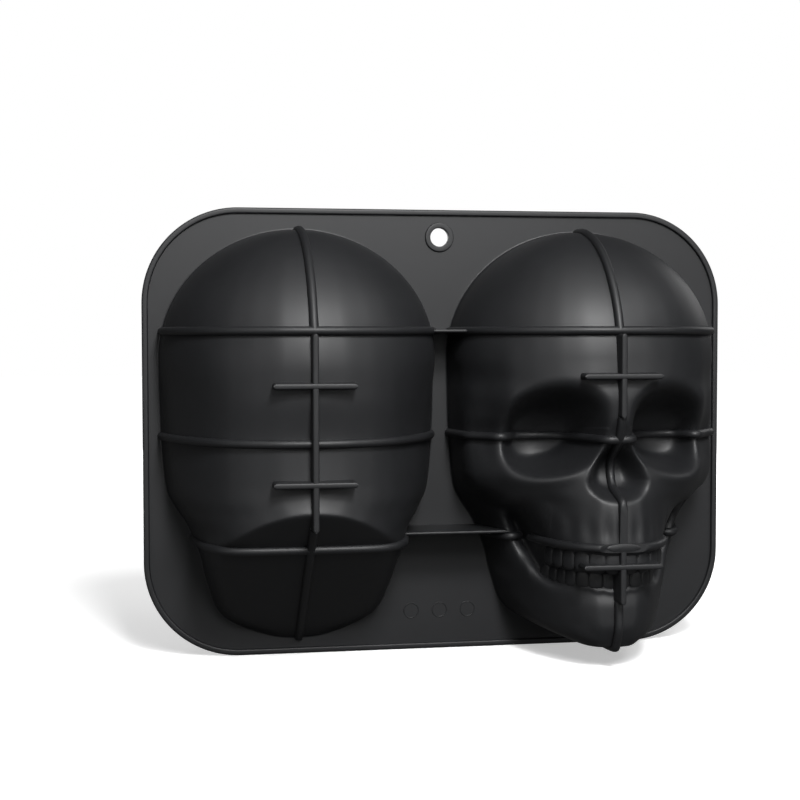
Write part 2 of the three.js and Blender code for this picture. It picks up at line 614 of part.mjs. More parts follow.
const behindDeck = (solid) => solid.trimByPlane([0, -1, 0], -(DECK_FACE + DECK_THICKNESS));
const behindFeet = (solid) => solid.trimByPlane([0, 1, 0], DECK_FACE - FOOT_REACH);

// Deck, rim and eyelet
function roundedPanel(inset) {
  const w = MOULD_WIDTH / 2 - inset;
  const h0 = inset;
  const h1 = MOULD_HEIGHT - inset;
  const r = CORNER_RADIUS - inset;
  const s = new THREE.Shape();
  s.moveTo(-w + r, h0);
  s.lineTo(w - r, h0);
  s.absarc(w - r, h0 + r, r, -Math.PI / 2, 0, false);
  s.lineTo(w, h1 - r);
  s.absarc(w - r, h1 - r, r, 0, Math.PI / 2, false);
  s.lineTo(-w + r, h1);
  s.absarc(-w + r, h1 - r, r, Math.PI / 2, Math.PI, false);
  s.lineTo(-w, h0 + r);
  s.absarc(-w + r, h0 + r, r, Math.PI, 1.5 * Math.PI, false);
  return s;
}
function disc(radius) {
  const s = new THREE.Shape();
  s.absarc(0, HOLE_LEVEL, radius, 0, 2 * Math.PI, false);
  return s;
}
const rimOuter = slab(roundedPanel(0), -DECK_THICKNESS, RIM_RISE, 9);
const rimInner = slab(roundedPanel(RIM_WIDTH), -DECK_THICKNESS - 1, RIM_RISE + 1, 9);
const rim = rimOuter.subtract(rimInner);
const eyelet = slab(disc(EYELET_DIAMETER / 2), -DECK_THICKNESS, EYELET_RISE, 14)
  .subtract(slab(disc(HOLE_DIAMETER / 2), -DECK_THICKNESS - 1, EYELET_RISE + 1, 14));
const eyeletRoom = slab(disc(EYELET_DIAMETER / 2 + CLEARANCE), -DECK_THICKNESS - 1, 1, 14);

// Shells. The hole for each in the deck is its own outline there, widened by the clearance.
function deckHole(body) {
  const behind = body.trimByPlane([0, 1, 0], DECK_FACE).rotate([90, 0, 0]);
  const outline = behind.project().offset(CLEARANCE, "Round");
  return outline.extrude(DECK_THICKNESS + 2).translate([0, 0, DECK_FACE - 1]).rotate([-90, 0, 0]);
}
const BACK_GRID = { outer: [70, 25, 0], inner: [36, 10, 0], grow: 2 * CLEARANCE, wide: WALL };
const FACE_GRID = { outer: [92, 34, 0.55], inner: [46, 14, 0.55], grow: 2.1 * CLEARANCE, wide: 1.8 * WALL };
const solids = {};
for (const [half, name, grid] of [[BACK, "back", BACK_GRID], [FACE, "face", FACE_GRID]]) {
  const body = cavityBody(half, grid.outer, 0, DECK_THICKNESS + 1, SURFACE_FINISH);
  half.room = pushOut(body, grid.grow);
  half.deckHole = deckHole(body);
  const inside = { middle: half.middle, depth: insideDepth(half, WALL, grid.wide) };
  const inner = cavityBody(inside, grid.inner, WALL, DECK_THICKNESS + 2, FINISH);
  solids["skull_" + name + "_shell"] = behindDeck(body).subtract(inner);
}
const deck = slab(roundedPanel(RIM_WIDTH + CLEARANCE), -DECK_THICKNESS, 0, 9);
solids.deck_plate = deck.subtract(BACK.deckHole).subtract(FACE.deckHole).subtract(eyeletRoom);
solids.rim_frame = rim;
solids.hanging_eyelet = eyelet;

// Beads across each cavity, then the beads down its middle, which stop short of them
for (const [half, name, lines] of [
  [BACK, "back", { crown: [CROWN_LINE], middle: [MIDDLE_LINE], lower: [LOWER_LINE] }],
  [FACE, "face", {
    crown: [CROWN_LINE],
    eye: [MIDDLE_LINE],
    lip: [LOWER_LINE, -JAW_HOLLOW, JAW_HOLLOW],
    left_jaw: [LOWER_LINE, -200, -JAW_BRANCH],
    right_jaw: [LOWER_LINE, JAW_BRANCH, 200],
  }],
]) {
  half.beadRooms = [];
  for (const [line, [level, from = -200, to = 200]] of Object.entries(lines)) {
    const path = acrossLine(half, level, from, to);
    const bead = beadAlong(path, UP, BEAD_RADIUS);
    half.beadRooms.push(beadAlong(path, UP, BEAD_RADIUS + CLEARANCE));
    solids[name + "_" + line + "_bead"] = behindFeet(frontOfDeck(bead).subtract(half.room));
  }
}
function middleBead(half, low, high) {
  let bead = frontOfDeck(beadAlong(middleLine(half, low, high), SIDEWAYS, BEAD_RADIUS));
  bead = bead.subtract(half.room);
  for (const room of half.beadRooms) bead = bead.subtract(room);
  for (const room of half.footRooms) bead = bead.subtract(room);
  return behindFeet(bead);
}

// Foot strips: a fin down the middle with bars across, flat on the foot plane
function foot(half, [low, high], bars) {
  const m = half.middle;
  const w = FIN_WIDTH / 2;
  const c = CLEARANCE;
  const root = FOOT_REACH - FIN_ROOT;
  let solid = box(m - w, m + w, root, FOOT_REACH, low, high);
  half.footRooms.push(box(m - w - 3 * c, m + w + 3 * c, root, FOOT_REACH + 1, low - c, high + c));
  for (const level of bars) {
    const l = CROSSBAR_LENGTH / 2;
    const h = CROSSBAR_HEIGHT / 2;
    solid = solid.add(box(m - l, m + l, root, FOOT_REACH, level - h, level + h));
  }
  solid = solid.subtract(half.room);
  for (const room of half.beadRooms) solid = solid.subtract(room);
  return solid;
}
BACK.footRooms = [];
FACE.footRooms = [];
const feet = {
  back_foot: foot(BACK, BACK_FOOT, BACK_BARS),
  face_forehead_foot: foot(FACE, FOREHEAD_FOOT, FOREHEAD_BARS),
  face_mouth_foot: foot(FACE, MOUTH_FOOT, MOUTH_BARS),
};
Object.assign(solids, feet);
solids.back_top_bead = middleBead(BACK, CROWN_LINE, DOME_TOP);
solids.back_neck_bead = middleBead(BACK, CHIN_MARGIN, LOWER_LINE);
solids.face_top_bead = middleBead(FACE, CROWN_LINE, DOME_TOP);
solids.face_nose_bead = middleBead(FACE, LOWER_LINE, MIDDLE_LINE);
solids.face_brow_bead = middleBead(FACE, MIDDLE_LINE, FOREHEAD_FOOT[0] - CLEARANCE);
solids.back_nape_bead = middleBead(BACK, LOWER_LINE, BACK_FOOT[0] - CLEARANCE);
solids.face_chin_bead = middleBead(FACE, CHIN_MARGIN, MOUTH_FOOT[0] - CLEARANCE);

// Webs that tie the two cavities together
function web(level, faceEnd) {
  const t = WEB_THICKNESS / 2;
  let solid = box(BACK.middle, FACE.middle - faceEnd, CLEARANCE, WEB_REACH, level - t, level + t);
  for (const half of [BACK, FACE]) {
    solid = solid.subtract(half.room);
    for (const room of half.beadRooms) solid = solid.subtract(room);
  }
  return solid;
}
solids.upper_web = web(CROWN_LINE, 0);
solids.lower_web = web(LOWER_WEB, JAW_RIDGE);

// Keep the largest body of each piece and put it in the group
const SILICONE = 0x26272a;
const group = new THREE.Group();
group.name = "skull_cake_mould";
for (const [name, solid] of Object.entries(solids)) {
  const bodies = solid.simplify(FINISH).decompose().sort((a, b) => b.volume() - a.volume());
  const mesh = bodies[0].getMesh();
  const position = new Float32Array(mesh.numVert * 3);
  for (let i = 0; i < mesh.numVert; i++) {
    for (let k = 0; k < 3; k++) position[i * 3 + k] = mesh.vertProperties[i * mesh.numProp + k];
  }
  const geometry = new THREE.BufferGeometry();
  geometry.setAttribute("position", new THREE.BufferAttribute(position, 3));
  geometry.setIndex(new THREE.BufferAttribute(new Uint32Array(mesh.triVerts), 1));
  const material = new THREE.MeshStandardMaterial({ color: SILICONE, roughness: 0.6, metalness: 0 });
  const node = new THREE.Mesh(geometry, material);
  node.name = name;
  group.add(node);
  if (bodies.length > 1) {
    const rest = bodies.slice(1).map((b) => b.volume().toFixed(2)).join(" ");
    console.log(name + ": " + bodies.length + " bodies, smaller ones " + rest);
  }
}

export default group;
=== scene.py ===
import math
import bmesh
import bpy
import numpy as np
from mathutils import Matrix, Vector


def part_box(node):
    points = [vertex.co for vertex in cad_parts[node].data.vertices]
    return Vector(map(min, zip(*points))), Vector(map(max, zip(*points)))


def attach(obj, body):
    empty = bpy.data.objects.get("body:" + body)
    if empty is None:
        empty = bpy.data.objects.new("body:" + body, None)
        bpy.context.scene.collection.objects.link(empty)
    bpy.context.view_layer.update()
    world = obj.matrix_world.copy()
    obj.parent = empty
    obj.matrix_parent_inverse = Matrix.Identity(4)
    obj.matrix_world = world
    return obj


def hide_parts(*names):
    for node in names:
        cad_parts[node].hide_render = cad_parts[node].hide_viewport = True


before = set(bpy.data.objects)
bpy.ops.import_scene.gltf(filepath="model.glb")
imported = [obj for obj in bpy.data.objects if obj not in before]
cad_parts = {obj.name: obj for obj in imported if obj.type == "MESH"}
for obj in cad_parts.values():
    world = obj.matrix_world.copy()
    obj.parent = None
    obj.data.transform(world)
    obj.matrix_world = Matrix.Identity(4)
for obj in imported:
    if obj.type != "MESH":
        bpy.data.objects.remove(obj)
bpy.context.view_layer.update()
mm = 0.001


# Places taken from the frame, in mm. Depth is counted forward from the front face of the deck.
def nodeBox(name):
    low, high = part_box(name)
    return np.array(low) / mm, np.array(high) / mm


deckLow, deckHigh = nodeBox("deck_plate")
rimLow, rimHigh = nodeBox("rim_frame")
eyeletLow, eyeletHigh = nodeBox("hanging_eyelet")
footLow, footHigh = nodeBox("back_foot")
deckFace = deckLow[1]
deckThickness = deckHigh[1] - deckLow[1]
footReach = deckFace - footLow[1]
backMiddle = (footLow[0] + footHigh[0]) / 2
faceMiddle = sum(b[0] for b in nodeBox("face_mouth_foot")) / 2
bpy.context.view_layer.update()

camera = {
    "place": (-0.1774, -0.8255, 0.1882),
    "turnRight": 10.011,   # degrees from straight at the deck
    "lookDown": 2.519,
    "roll": -0.083,
    "lens": 66.86,
    "sensor": 36.0,
}


def addObject(name, data):
    made = bpy.data.objects.new(name, data)
    bpy.context.scene.collection.objects.link(made)
    return made


def addCamera():
    turn, down, roll = (math.radians(camera[k]) for k in ("turnRight", "lookDown", "roll"))
    ahead = Vector((math.sin(turn) * math.cos(down), math.cos(turn) * math.cos(down), -math.sin(down)))
    level = Vector((math.cos(turn), -math.sin(turn), 0))
    upward = level.cross(ahead)
    right = level * math.cos(roll) + upward * math.sin(roll)
    up = upward * math.cos(roll) - level * math.sin(roll)
    lens = bpy.data.cameras.new("photoCamera")
    lens.lens = camera["lens"]
    lens.sensor_width = camera["sensor"]
    body = addObject("photoCamera", lens)
    turned = Matrix((right, up, -ahead)).transposed().to_4x4()
    body.matrix_world = Matrix.Translation(camera["place"]) @ turned
    bpy.context.scene.camera = body


addCamera()
print("camera set")

# The two skull halves, measured in mm from the middle of each half. A section holds its level and
# pairs of place across and depth.
outline = {
    "points": [
        (9.9, 0), (10.15, 7), (10.7, 12), (11.8, 17), (13.2, 21.5), (15, 26.8), (17, 32), (20, 38),
        (24.5, 44.5), (31, 49), (40, 52), (50, 55), (60, 57.2), (71, 61.4), (79, 65), (88, 71),
        (98, 76), (108, 77.6), (120, 78.6), (130, 79.2), (150, 79.9), (175, 80.3),
    ],
    "domeLevel": 175.0,
    "domeRise": 74.3,
    "domeHalf": 80.3,
    "chinLevel": 9.9,
    "chinRound": 3.2,
    "starLevel": 128.0,   # where the rays of both shells start
    "crownLevel": 168.0,   # from here up the skull turns back towards the deck
}
chin = outline["chinLevel"]
domeTop = outline["domeLevel"] + outline["domeRise"]
backUpper = [
    (56, [(0, 92), (20, 90), (35, 84), (44, 72), (50, 56), (54, 34), (56.5, 0)]),
    (71, [(0, 86.5), (15, 85), (30, 79.5), (40, 71), (48, 60.5), (54, 48.5), (58, 31.5), (60.6, 14.5),
          (61.4, 0)]),
    (78, [(0, 86.2), (15, 84.8), (30, 79.2), (40.5, 70.8), (49, 59.8), (56, 45.5), (61, 28), (64, 12),
          (64.6, 0)]),
    (85, [(0, 86), (14, 84.8), (24, 81.5), (31, 77.6), (40, 71), (50, 60.5), (58, 47), (65, 27), (68, 12),
          (69, 0)]),
    (91.5, [(0, 85.6), (12, 84.6), (25, 80.4), (38, 73), (48, 64.3), (57, 52.5), (66, 33), (71, 15),
            (73.2, 0)]),
    (98, [(0, 84.8), (15, 83.3), (30, 78), (43, 69.8), (53, 59.8), (61, 48.5), (69, 31.5), (74, 14),
          (75.9, 0)]),
    (108, [(0, 83.8), (15, 82.4), (30, 77.3), (43, 69.5), (52, 61), (60, 50.5), (68, 36.5), (74, 21),
           (77.6, 0)]),
    (130, [(0, 83), (15, 81.7), (30, 77), (43, 69.3), (52, 61), (60, 50.5), (68, 36.5), (75, 20),
           (79.2, 0)]),
    (155, [(0, 86.2), (15, 84.8), (30, 80), (43, 72.4), (52, 64.3), (61, 53), (69, 39), (76, 22), (80, 0)]),
    (175, [(0, 87), (15, 85.5), (30, 80.7), (43, 73.5), (52, 66.3), (61, 56.5), (70, 42.6), (76, 28),
           (79, 15.6), (80.3, 0)]),
]
backLower = [
    (9.9, [(0, 0.6), (4, 0.3), (7, 0)]),
    (13.2, [(0, 4.6), (12, 4), (18, 2.2), (21.5, 0)]),
    (17, [(0, 9), (18, 8.4), (27, 5.6), (32, 0)]),
    (24.5, [(0, 17), (20, 16.7), (34, 15), (41, 11), (44, 4.5), (44.5, 0)]),
    (40, [(0, 33.5), (20, 33.2), (36, 32), (44.5, 28.3), (49, 21), (51.4, 10), (52, 0)]),
    (56, [(0, 50.5), (20, 50.2), (36, 49), (46, 45), (51.8, 36), (55, 21), (56.5, 0)]),
    (66, [(0, 61.5), (20, 61.3), (37, 60.2), (47, 56), (53, 47), (57, 32), (59, 14), (59.4, 0)]),
    (71, [(0, 65.9), (15, 65.8), (30, 65.3), (40, 63.5), (48, 58.5), (54, 48), (58, 31), (60.6, 14),
          (61.4, 0)]),
    (78, [(0, 73.2), (15, 73.1), (30, 72.7), (40, 71.5), (48, 67), (54, 58), (58, 48), (62, 32),
          (64.6, 0)]),
    (85, [(0, 80.6), (15, 80.5), (30, 80), (40, 79), (50, 74), (58, 62), (64, 44), (69, 0)]),
    (92.5, [(0, 88.4), (15, 88.3), (30, 88), (45, 85), (57, 74), (66, 55), (73.5, 0)]),
    (100, [(0, 96.2), (30, 96), (50, 90), (65, 70), (76.4, 0)]),
    (130, [(0, 126), (40, 122), (65, 95), (79.2, 0)]),
]
nuchal = {
    "peak": 92.2, "drop": 16.5, "reach": 44.0, "flare": 2.4, "length": 5.5, "round": 1.5,
    "end": 58, "fade": 16, "shallow": 30,
}
faceSections = [
    (9.9, [(0, 76), (4, 75), (7, 70)]),
    (13.2, [(0, 76.8), (8, 75.5), (13, 71), (17, 62), (20, 45), (21.5, 20)]),
    (18, [(0, 79.4), (9, 78.2), (16, 74), (22, 66.5), (27, 57), (30.5, 44), (33, 26), (34, 12)]),
    (26, [(0, 82.2), (9, 81), (17, 75.8), (24, 68), (30, 58), (35, 47), (39.5, 35), (43.3, 21), (45.4, 8),
          (46, 0)]),
    (36, [(0, 82), (10, 80.8), (18, 76), (25, 68), (31, 58.5), (36, 48.5), (41, 37), (46, 24), (49.5, 10),
          (51, 0)]),
    (44, [(0, 79.8), (10, 78.8), (17, 75.4), (23, 69.8), (28, 63), (33, 55.5), (38, 46), (43, 35), (48, 22),
          (51.6, 9), (53, 0)]),
    (52, [(0, 78), (10, 77.2), (17, 73.8), (22.5, 67), (26.5, 58.5), (29.5, 50), (32, 44), (34.5, 42.6),
          (37.5, 43.6), (40.5, 42.4), (45, 33.5), (50, 19.5), (54, 6), (55.4, 0)]),
    (60, [(0, 85.2), (10, 84), (18, 79.4), (24, 72), (28.5, 63), (32, 51.5), (34, 42), (35.8, 35.4),
          (38, 32.8), (41, 33.4), (44.5, 32.6), (48, 28), (52, 19.5), (55, 8.5), (57.2, 0)]),
    (71, [(0, 90.6), (10, 89.4), (18, 84.8), (25, 77), (30, 68.5), (33.8, 58.5), (36.2, 46), (38, 34),
          (39.8, 26.6), (42, 24), (45.5, 25.4), (49, 25.6), (52.4, 22.8), (55.6, 16.5), (58.8, 8),
          (61.4, 0)]),
    (79, [(0, 89.6), (10, 88.2), (18, 83.2), (26, 75), (32, 66.5), (36.4, 58), (39.4, 47), (41.4, 35.5),
          (43.2, 27.4), (45.6, 23.2), (49, 22.6), (52.4, 22.2), (56, 18.6), (60.4, 10.5), (65, 0)]),
    (87, [(0, 89.2), (10, 87.6), (18, 82.6), (26, 75), (33, 67.5), (39, 59.5), (43.6, 50), (47, 39.5),
          (50, 31), (53.4, 26), (57.4, 22.4), (62, 16), (67, 7.5), (70.3, 0)]),
    (93, [(0, 88.4), (10, 87), (17, 83), (26, 76), (34, 67.8), (42, 61), (49, 52.5), (55, 43), (60, 33),
          (64, 24), (68, 15.5), (72, 7), (73.8, 0)]),
    (100, [(0, 86.6), (10, 85.6), (17, 82.4), (27, 76.6), (37, 69.6), (47, 62), (56, 52), (64, 41.5),
           (70, 31.5), (74, 17), (76.4, 0)]),
    (108, [(0, 85.4), (10, 84.2), (19, 80.6), (31, 75), (42, 69), (52, 60.5), (61, 50), (69, 39.5),
           (74.6, 28.5), (76.6, 12), (77.6, 0)]),
    (119, [(0, 83.2), (9, 81.8), (19, 78), (32, 72.5), (44, 65), (55, 54.5), (64, 43.5), (70.5, 36),
           (75, 28), (77.6, 12), (78.5, 0)]),
    (130, [(0, 82.8), (8, 81.6), (17, 77.8), (30, 72.2), (43, 64), (54, 53), (63, 42.5), (70, 35), (75, 27),
           (78, 12), (79.2, 0)]),
    (142, [(0, 86.4), (9, 85.9), (20, 83.6), (32, 79), (44, 71.4), (54, 61.5), (63, 50), (70, 40.5),
           (75.4, 29), (78.6, 13), (79.6, 0)]),
    (152, [(0, 87.2), (10, 86.8), (22, 84.6), (35, 79.6), (47, 71.4), (57, 60.8), (66, 48.5), (73, 35.5),
           (78, 18), (79.9, 0)]),
    (163, [(0, 85.8), (12, 85), (25, 81.8), (38, 75.6), (50, 66.4), (60, 55), (69, 41), (76, 24),
           (80.1, 0)]),
    (175, [(0, 84.9), (15, 83.4), (30, 78.8), (43, 71.8), (52, 64.7), (61, 55.2), (70, 41.6), (76, 27.3),
           (79, 15), (80.3, 0)]),
]
socket = {
    "across": 34.4, "level": 131, "half": 22.8, "up": 20.5, "down": 18.5, "power": 2.4,
    "droop": 0.2, "browLevel": 0.7,        # share of the droop that the brow doesn't follow
    "start": 0.58, "end": 1.33,            # where the bowl's fall begins and ends, 1 is the oval above
    "brow": 0.48, "browStart": 0.1, "browTurn": 1.5,
    "rim": 0.9, "rimAt": 1.3, "rimWidth": 0.22, "rimTop": 0.5, "rimFrom": 16, "rimFade": 14,
    "floor": {"depth": 33, "across": 41, "level": 126.5, "turn": 0.04, "bow": 0.058},
}
temple = {
    "across": 67.5, "level": 142, "half": 8, "tall": 26, "deep": 4.2,
    "rim": 57, "out": 1.5, "wide": 4.5,
}
nose = {
    "level": 107, "half": 16.6, "up": 25, "down": 11, "power": 2.3, "pinch": 0.5,
    "start": 0.34, "end": 1.22,
    "floor": {"depth": 65.4, "level": 112.5, "bow": 0.09, "soft": 4},
}
roots = {"gap": 8.6, "out": 0.4, "level": 80, "tall": 8, "end": 34}
branch = {
    "line": [(55.4, 89), (53.6, 84), (51.2, 78), (48.6, 71), (45, 63), (41, 55), (36, 48)],
    "out": [5.4, 6.6, 6.4, 4.2, 1.8, 0.5, 0],
    "half": 5.8,
}
gum = {
    "level": 45.4, "curl": 0.007, "out": 1.0, "half": 1.6, "scallop": 0.7, "gap": 7.6,
    "end": 34, "fade": 6,
}
shell = {
    "wall": 2.5,
    "rays": 420,
    "rings": 168,
    "innerRings": 80,
    "mouthRays": 0.55,     # how much closer the rays lie over the mouth
    "footFillet": 1.0,
    "lipFillet": 1.6,
    "seam": 0.5,           # the deck's cut-out lies this far inside the outline
    "tuck": 0.4,           # how far its foot reaches below the deck's face
    "nearest": 20.0,       # the outline is looked for between these two on each ray
    "farthest": 140.0,
}
rings = {
    "samples": 360, "fullDepth": 40, "shallow": 0.4,       # fewer rings where the shell is shallow
    "mouth": 0.9, "mouthLevel": 62, "mouthTall": 24,       # more over the teeth
    "smooth": 36,                                          # evened over a 36th of a turn
}


def curveThrough(points, at, flatStart=False, flatEnd=False):
    x, y = np.array(points, float).T
    step = np.diff(x)
    slope = np.diff(y) / step
    tangent = np.zeros(len(x))
    product = slope[:-1] * slope[1:]
    total = np.where(product > 0, slope[:-1] + slope[1:], 1)
    tangent[1:-1] = np.where(product > 0, 2 * product / total, 0)
    tangent[0] = 0 if flatStart else slope[0]
    tangent[-1] = 0 if flatEnd else slope[-1]
    at = np.clip(np.asarray(at, float), x[0], x[-1])
    k = np.clip(np.searchsorted(x, at, side="right") - 1, 0, len(x) - 2)
    h = step[k]
    s = (at - x[k]) / h
    return ((1 + 2 * s) * (1 - s) ** 2 * y[k] + s * s * (3 - 2 * s) * y[k + 1]
            + s * (1 - s) ** 2 * h * tangent[k] + s * s * (s - 1) * h * tangent[k + 1])


def blur(values, sigma, axis):
    reach = int(3 * sigma) + 1
    weights = np.exp(-0.5 * (np.arange(-reach, reach + 1) / sigma) ** 2)
    weights /= weights.sum()
    padding = [(0, 0)] * values.ndim
    padding[axis] = (reach, reach)
    padded = np.pad(values, padding, mode="edge")
    return np.apply_along_axis(lambda line: np.convolve(line, weights, mode="valid"), axis, padded)


def readGrid(table, row, column):
    i = np.clip(row.astype(int), 0, table.shape[0] - 2)
    j = np.clip(column.astype(int), 0, table.shape[1] - 2)
    a = column - j
    b = row - i
    return ((table[i, j] * (1 - a) + table[i, j + 1] * a) * (1 - b)
            + (table[i + 1, j] * (1 - a) + table[i + 1, j + 1] * a) * b)


def roundShare(level, start, rise):
    s = np.clip((np.asarray(level, float) - start) / rise, 0, 1)
    return np.sqrt(1 - s * s)


def halfWidth(level):
    low = np.maximum(0, curveThrough(outline["points"], level, flatEnd=True))
    dome = outline["domeHalf"] * roundShare(level, outline["domeLevel"], outline["domeRise"])
    return np.where(np.asarray(level) >= outline["domeLevel"], dome, low)


class DepthTable:
    columns = 240
    step = 0.5
    soften = 2.2

    def __init__(self, sections):
        levels = [s[0] for s in sections]
        share = np.sin(np.arange(self.columns + 1) / self.columns * math.pi / 2)
        rows = [curveThrough(pairs, pairs[-1][0] * share, flatStart=True) for _, pairs in sections]
        self.levels = np.arange(levels[0], levels[-1] + self.step / 2, self.step)
        table = [curveThrough(list(zip(levels, column)), self.levels, flatEnd=True)
                 for column in zip(*rows)]
        self.table = blur(np.array(table).T, self.soften, 0)

    def at(self, across, level):
        half = halfWidth(level)
        share = np.clip(across / np.maximum(half, 1e-6), 0, 1)
        column = np.arcsin(share) / (math.pi / 2) * self.columns
        row = (np.clip(level, self.levels[0], self.levels[-1]) - self.levels[0]) / self.step
        crown = roundShare(level, outline["crownLevel"], domeTop - outline["crownLevel"])
        return np.maximum(0, readGrid(self.table, row, column)) * crown * (half > 0)


class SkullHalf:
    def __init__(self, middle, surface):
        self.middle = middle
        self.surface = surface

    def depth(self, x, level):
        x, level = np.broadcast_arrays(np.asarray(x, float), np.asarray(level, float))
        return np.maximum(0, self.surface(np.abs(x), level))


def bump(distance, half):
    return np.exp(-((distance / half) ** 2))


def softMin(a, b, radius):
    return (a + b - np.sqrt((a - b) ** 2 + radius * radius)) / 2


upperTable = DepthTable(backUpper)
lowerTable = DepthTable(backLower)
faceTable = DepthTable(faceSections)


def backDepth(across, level):
    upper = upperTable.at(across, np.maximum(level, backUpper[0][0]))
    lower = lowerTable.at(across, level) + np.maximum(0, level - backLower[-1][0])
    ridge = nuchal["peak"] - nuchal["drop"] * (across / nuchal["reach"]) ** 2
    fade = np.clip((nuchal["end"] - across) / nuchal["fade"], 0, 1)
    above = np.maximum(0, level - ridge)
    upper = upper + nuchal["flare"] * np.exp(-above / nuchal["length"]) * fade
    radius = nuchal["round"] * np.clip(np.minimum(upper, lower) / nuchal["shallow"], 0, 1)
    depth = softMin(upper, lower, radius)
    return np.where(level < backUpper[0][0], lower, depth)


def ridgeLine(points, heights, half, across, level):
    raised = np.zeros(np.shape(across))
    for (ax, az), (bx, bz), ha, hb in zip(points[:-1], points[1:], heights[:-1], heights[1:]):
        dx, dz = bx - ax, bz - az
        s = np.clip(((across - ax) * dx + (level - az) * dz) / (dx * dx + dz * dz), 0, 1)
        away = np.hypot(across - ax - s * dx, level - az - s * dz)
        raised = np.maximum(raised, (ha + (hb - ha) * s) * bump(away, half))
    return raised


def ovalReach(x, z, power):
    return (np.abs(x) ** power + np.abs(z) ** power) ** (1 / power)


def hollowShare(q, start, end):   # 1 in the bowl, 0 outside, with no crease at either end
    s = np.clip((q - start) / (end - start), 0, 1) ** 1.5
    return (1 - s) ** 3 * (1 + 3 * s)


def socketFloor(across, level, depth):
    floor = socket["floor"]
    out = across - socket["across"]
    up = level - socket["level"] + socket["droop"] * out
    up = np.where(up > 0, np.maximum(0, up - socket["browLevel"] * socket["droop"] * out), up)
    dz = up / np.where(up > 0, socket["up"], socket["down"])
    q = ovalReach(out / socket["half"], dz, socket["power"])
    upness = np.clip(dz / np.maximum(q, 0.2), 0, 1) ** socket["browTurn"]
    start = socket["start"] - socket["browStart"] * upness
    share = hollowShare(q, start, socket["end"] + socket["brow"] * upness)
    side = across - floor["across"]
    high = level - floor["level"]
    deep = floor["depth"] + (floor["turn"] * side * side + floor["bow"] * high * high) / 2
    low = np.clip(socket["rimTop"] - dz, 0, 1)
    low = low * np.clip((across - socket["rimFrom"]) / socket["rimFade"], 0, 1)
    rim = socket["rim"] * bump(q - socket["rimAt"], socket["rimWidth"]) * low
    return depth + (np.minimum(deep, depth) - depth) * share + rim


def noseFloor(across, level, depth):
    floor = nose["floor"]
    up = level - nose["level"]
    rise = np.maximum(0, up / nose["up"])
    nx = across / (nose["half"] * (1 - nose["pinch"] * np.minimum(1, rise)))
    q = ovalReach(nx, up / np.where(up > 0, nose["up"], nose["down"]), nose["power"])
    deep = floor["depth"] + floor["bow"] * (level - floor["level"]) ** 2 / 2
    share = hollowShare(q, nose["start"], nose["end"])
    return depth + (softMin(deep, depth, floor["soft"]) - depth) * share


def faceDepth(across, level):
    edge = np.clip((level - chin) / outline["chinRound"], 0, 1)
    depth = faceTable.at(across, level) * np.sqrt(1 - (1 - edge) ** 2)
    depth = socketFloor(across, level, depth)
    depth = noseFloor(across, level, depth)
    beside = bump(level - temple["level"], temple["tall"])
    depth = depth - temple["deep"] * bump(across - temple["across"], temple["half"]) * beside
    depth = depth + temple["out"] * bump(across - temple["rim"], temple["wide"]) * beside
    ridges = roots["out"] * np.cos((across / roots["gap"] - 0.5) * 2 * math.pi)
    depth = depth + ridges * bump(level - roots["level"], roots["tall"]) * (across < roots["end"])
    depth = depth + ridgeLine(branch["line"], branch["out"], branch["half"], across, level)
    line = level - gum["level"] - gum["curl"] * across * across
    scallop = gum["scallop"] * np.abs(np.sin(across / gum["gap"] * math.pi))
    fade = np.clip((gum["end"] - across) / gum["fade"], 0, 1)
    return depth + gum["out"] * bump(line + scallop, gum["half"]) * fade


backHalf = SkullHalf(backMiddle, backDepth)
faceHalf = SkullHalf(faceMiddle, faceDepth)
print("skull forms ready")


# Mesh helpers
def place(x, depth, z):
    return np.stack(np.broadcast_arrays(x, deckFace - depth, z), axis=-1) * mm


def circle(steps):
    return np.linspace(0, 2 * math.pi, steps + 1)[:-1]


def bandFaces(a, b, count):   # between two rings of points that start at a and b
    return [(a + i, b + i, b + (i + 1) % count, a + (i + 1) % count) for i in range(count)]


def tubeFaces(count, rows, first=0):   # rings in a row, closed at both ends
    faces = []
    for j in range(rows - 1):
        faces += bandFaces(first + j * count, first + (j + 1) * count, count)
    last = first + (rows - 1) * count
    return faces + [tuple(range(first, first + count)), tuple(reversed(range(last, last + count)))]


def mend(mesh, change=None):
    build = bmesh.new()
    build.from_mesh(mesh)
    if change:
        change(build)
    bmesh.ops.recalc_face_normals(build, faces=build.faces)
    build.to_mesh(mesh)
    build.free()


def makePiece(name, points, faces, node, smoothAngle=None):
    mesh = bpy.data.meshes.new(name)
    mesh.from_pydata([tuple(p) for p in points], [], faces)
    mend(mesh)
    return finishPiece(name, mesh, node, smoothAngle)


def finishPiece(name, mesh, node, smoothAngle=None):
    mesh.name = name
    mesh.polygons.foreach_set("use_smooth", [True] * len(mesh.polygons))
    if smoothAngle:
        mesh.set_sharp_from_angle(angle=math.radians(smoothAngle))
    mesh.materials.clear()
    mesh.materials.append(silicone)
    piece = addObject(name, mesh)
    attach(piece, "root")
    if node:
        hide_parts(node)
    return piece


# One small class wraps a socket for shader maths, and a sheet makes the nodes of any tree
class Signal:
    def __init__(self, sheet, socket):
        self.sheet = sheet
        self.socket = socket

    def combine(self, operation, other):
        return self.sheet.node("ShaderNodeMath", {0: self, 1: other}, {"operation": operation})

    def __add__(self, other):
        return self.combine("ADD", other)

    def __mul__(self, other):
        return self.combine("MULTIPLY", other)

    __radd__ = __add__
    __rmul__ = __mul__


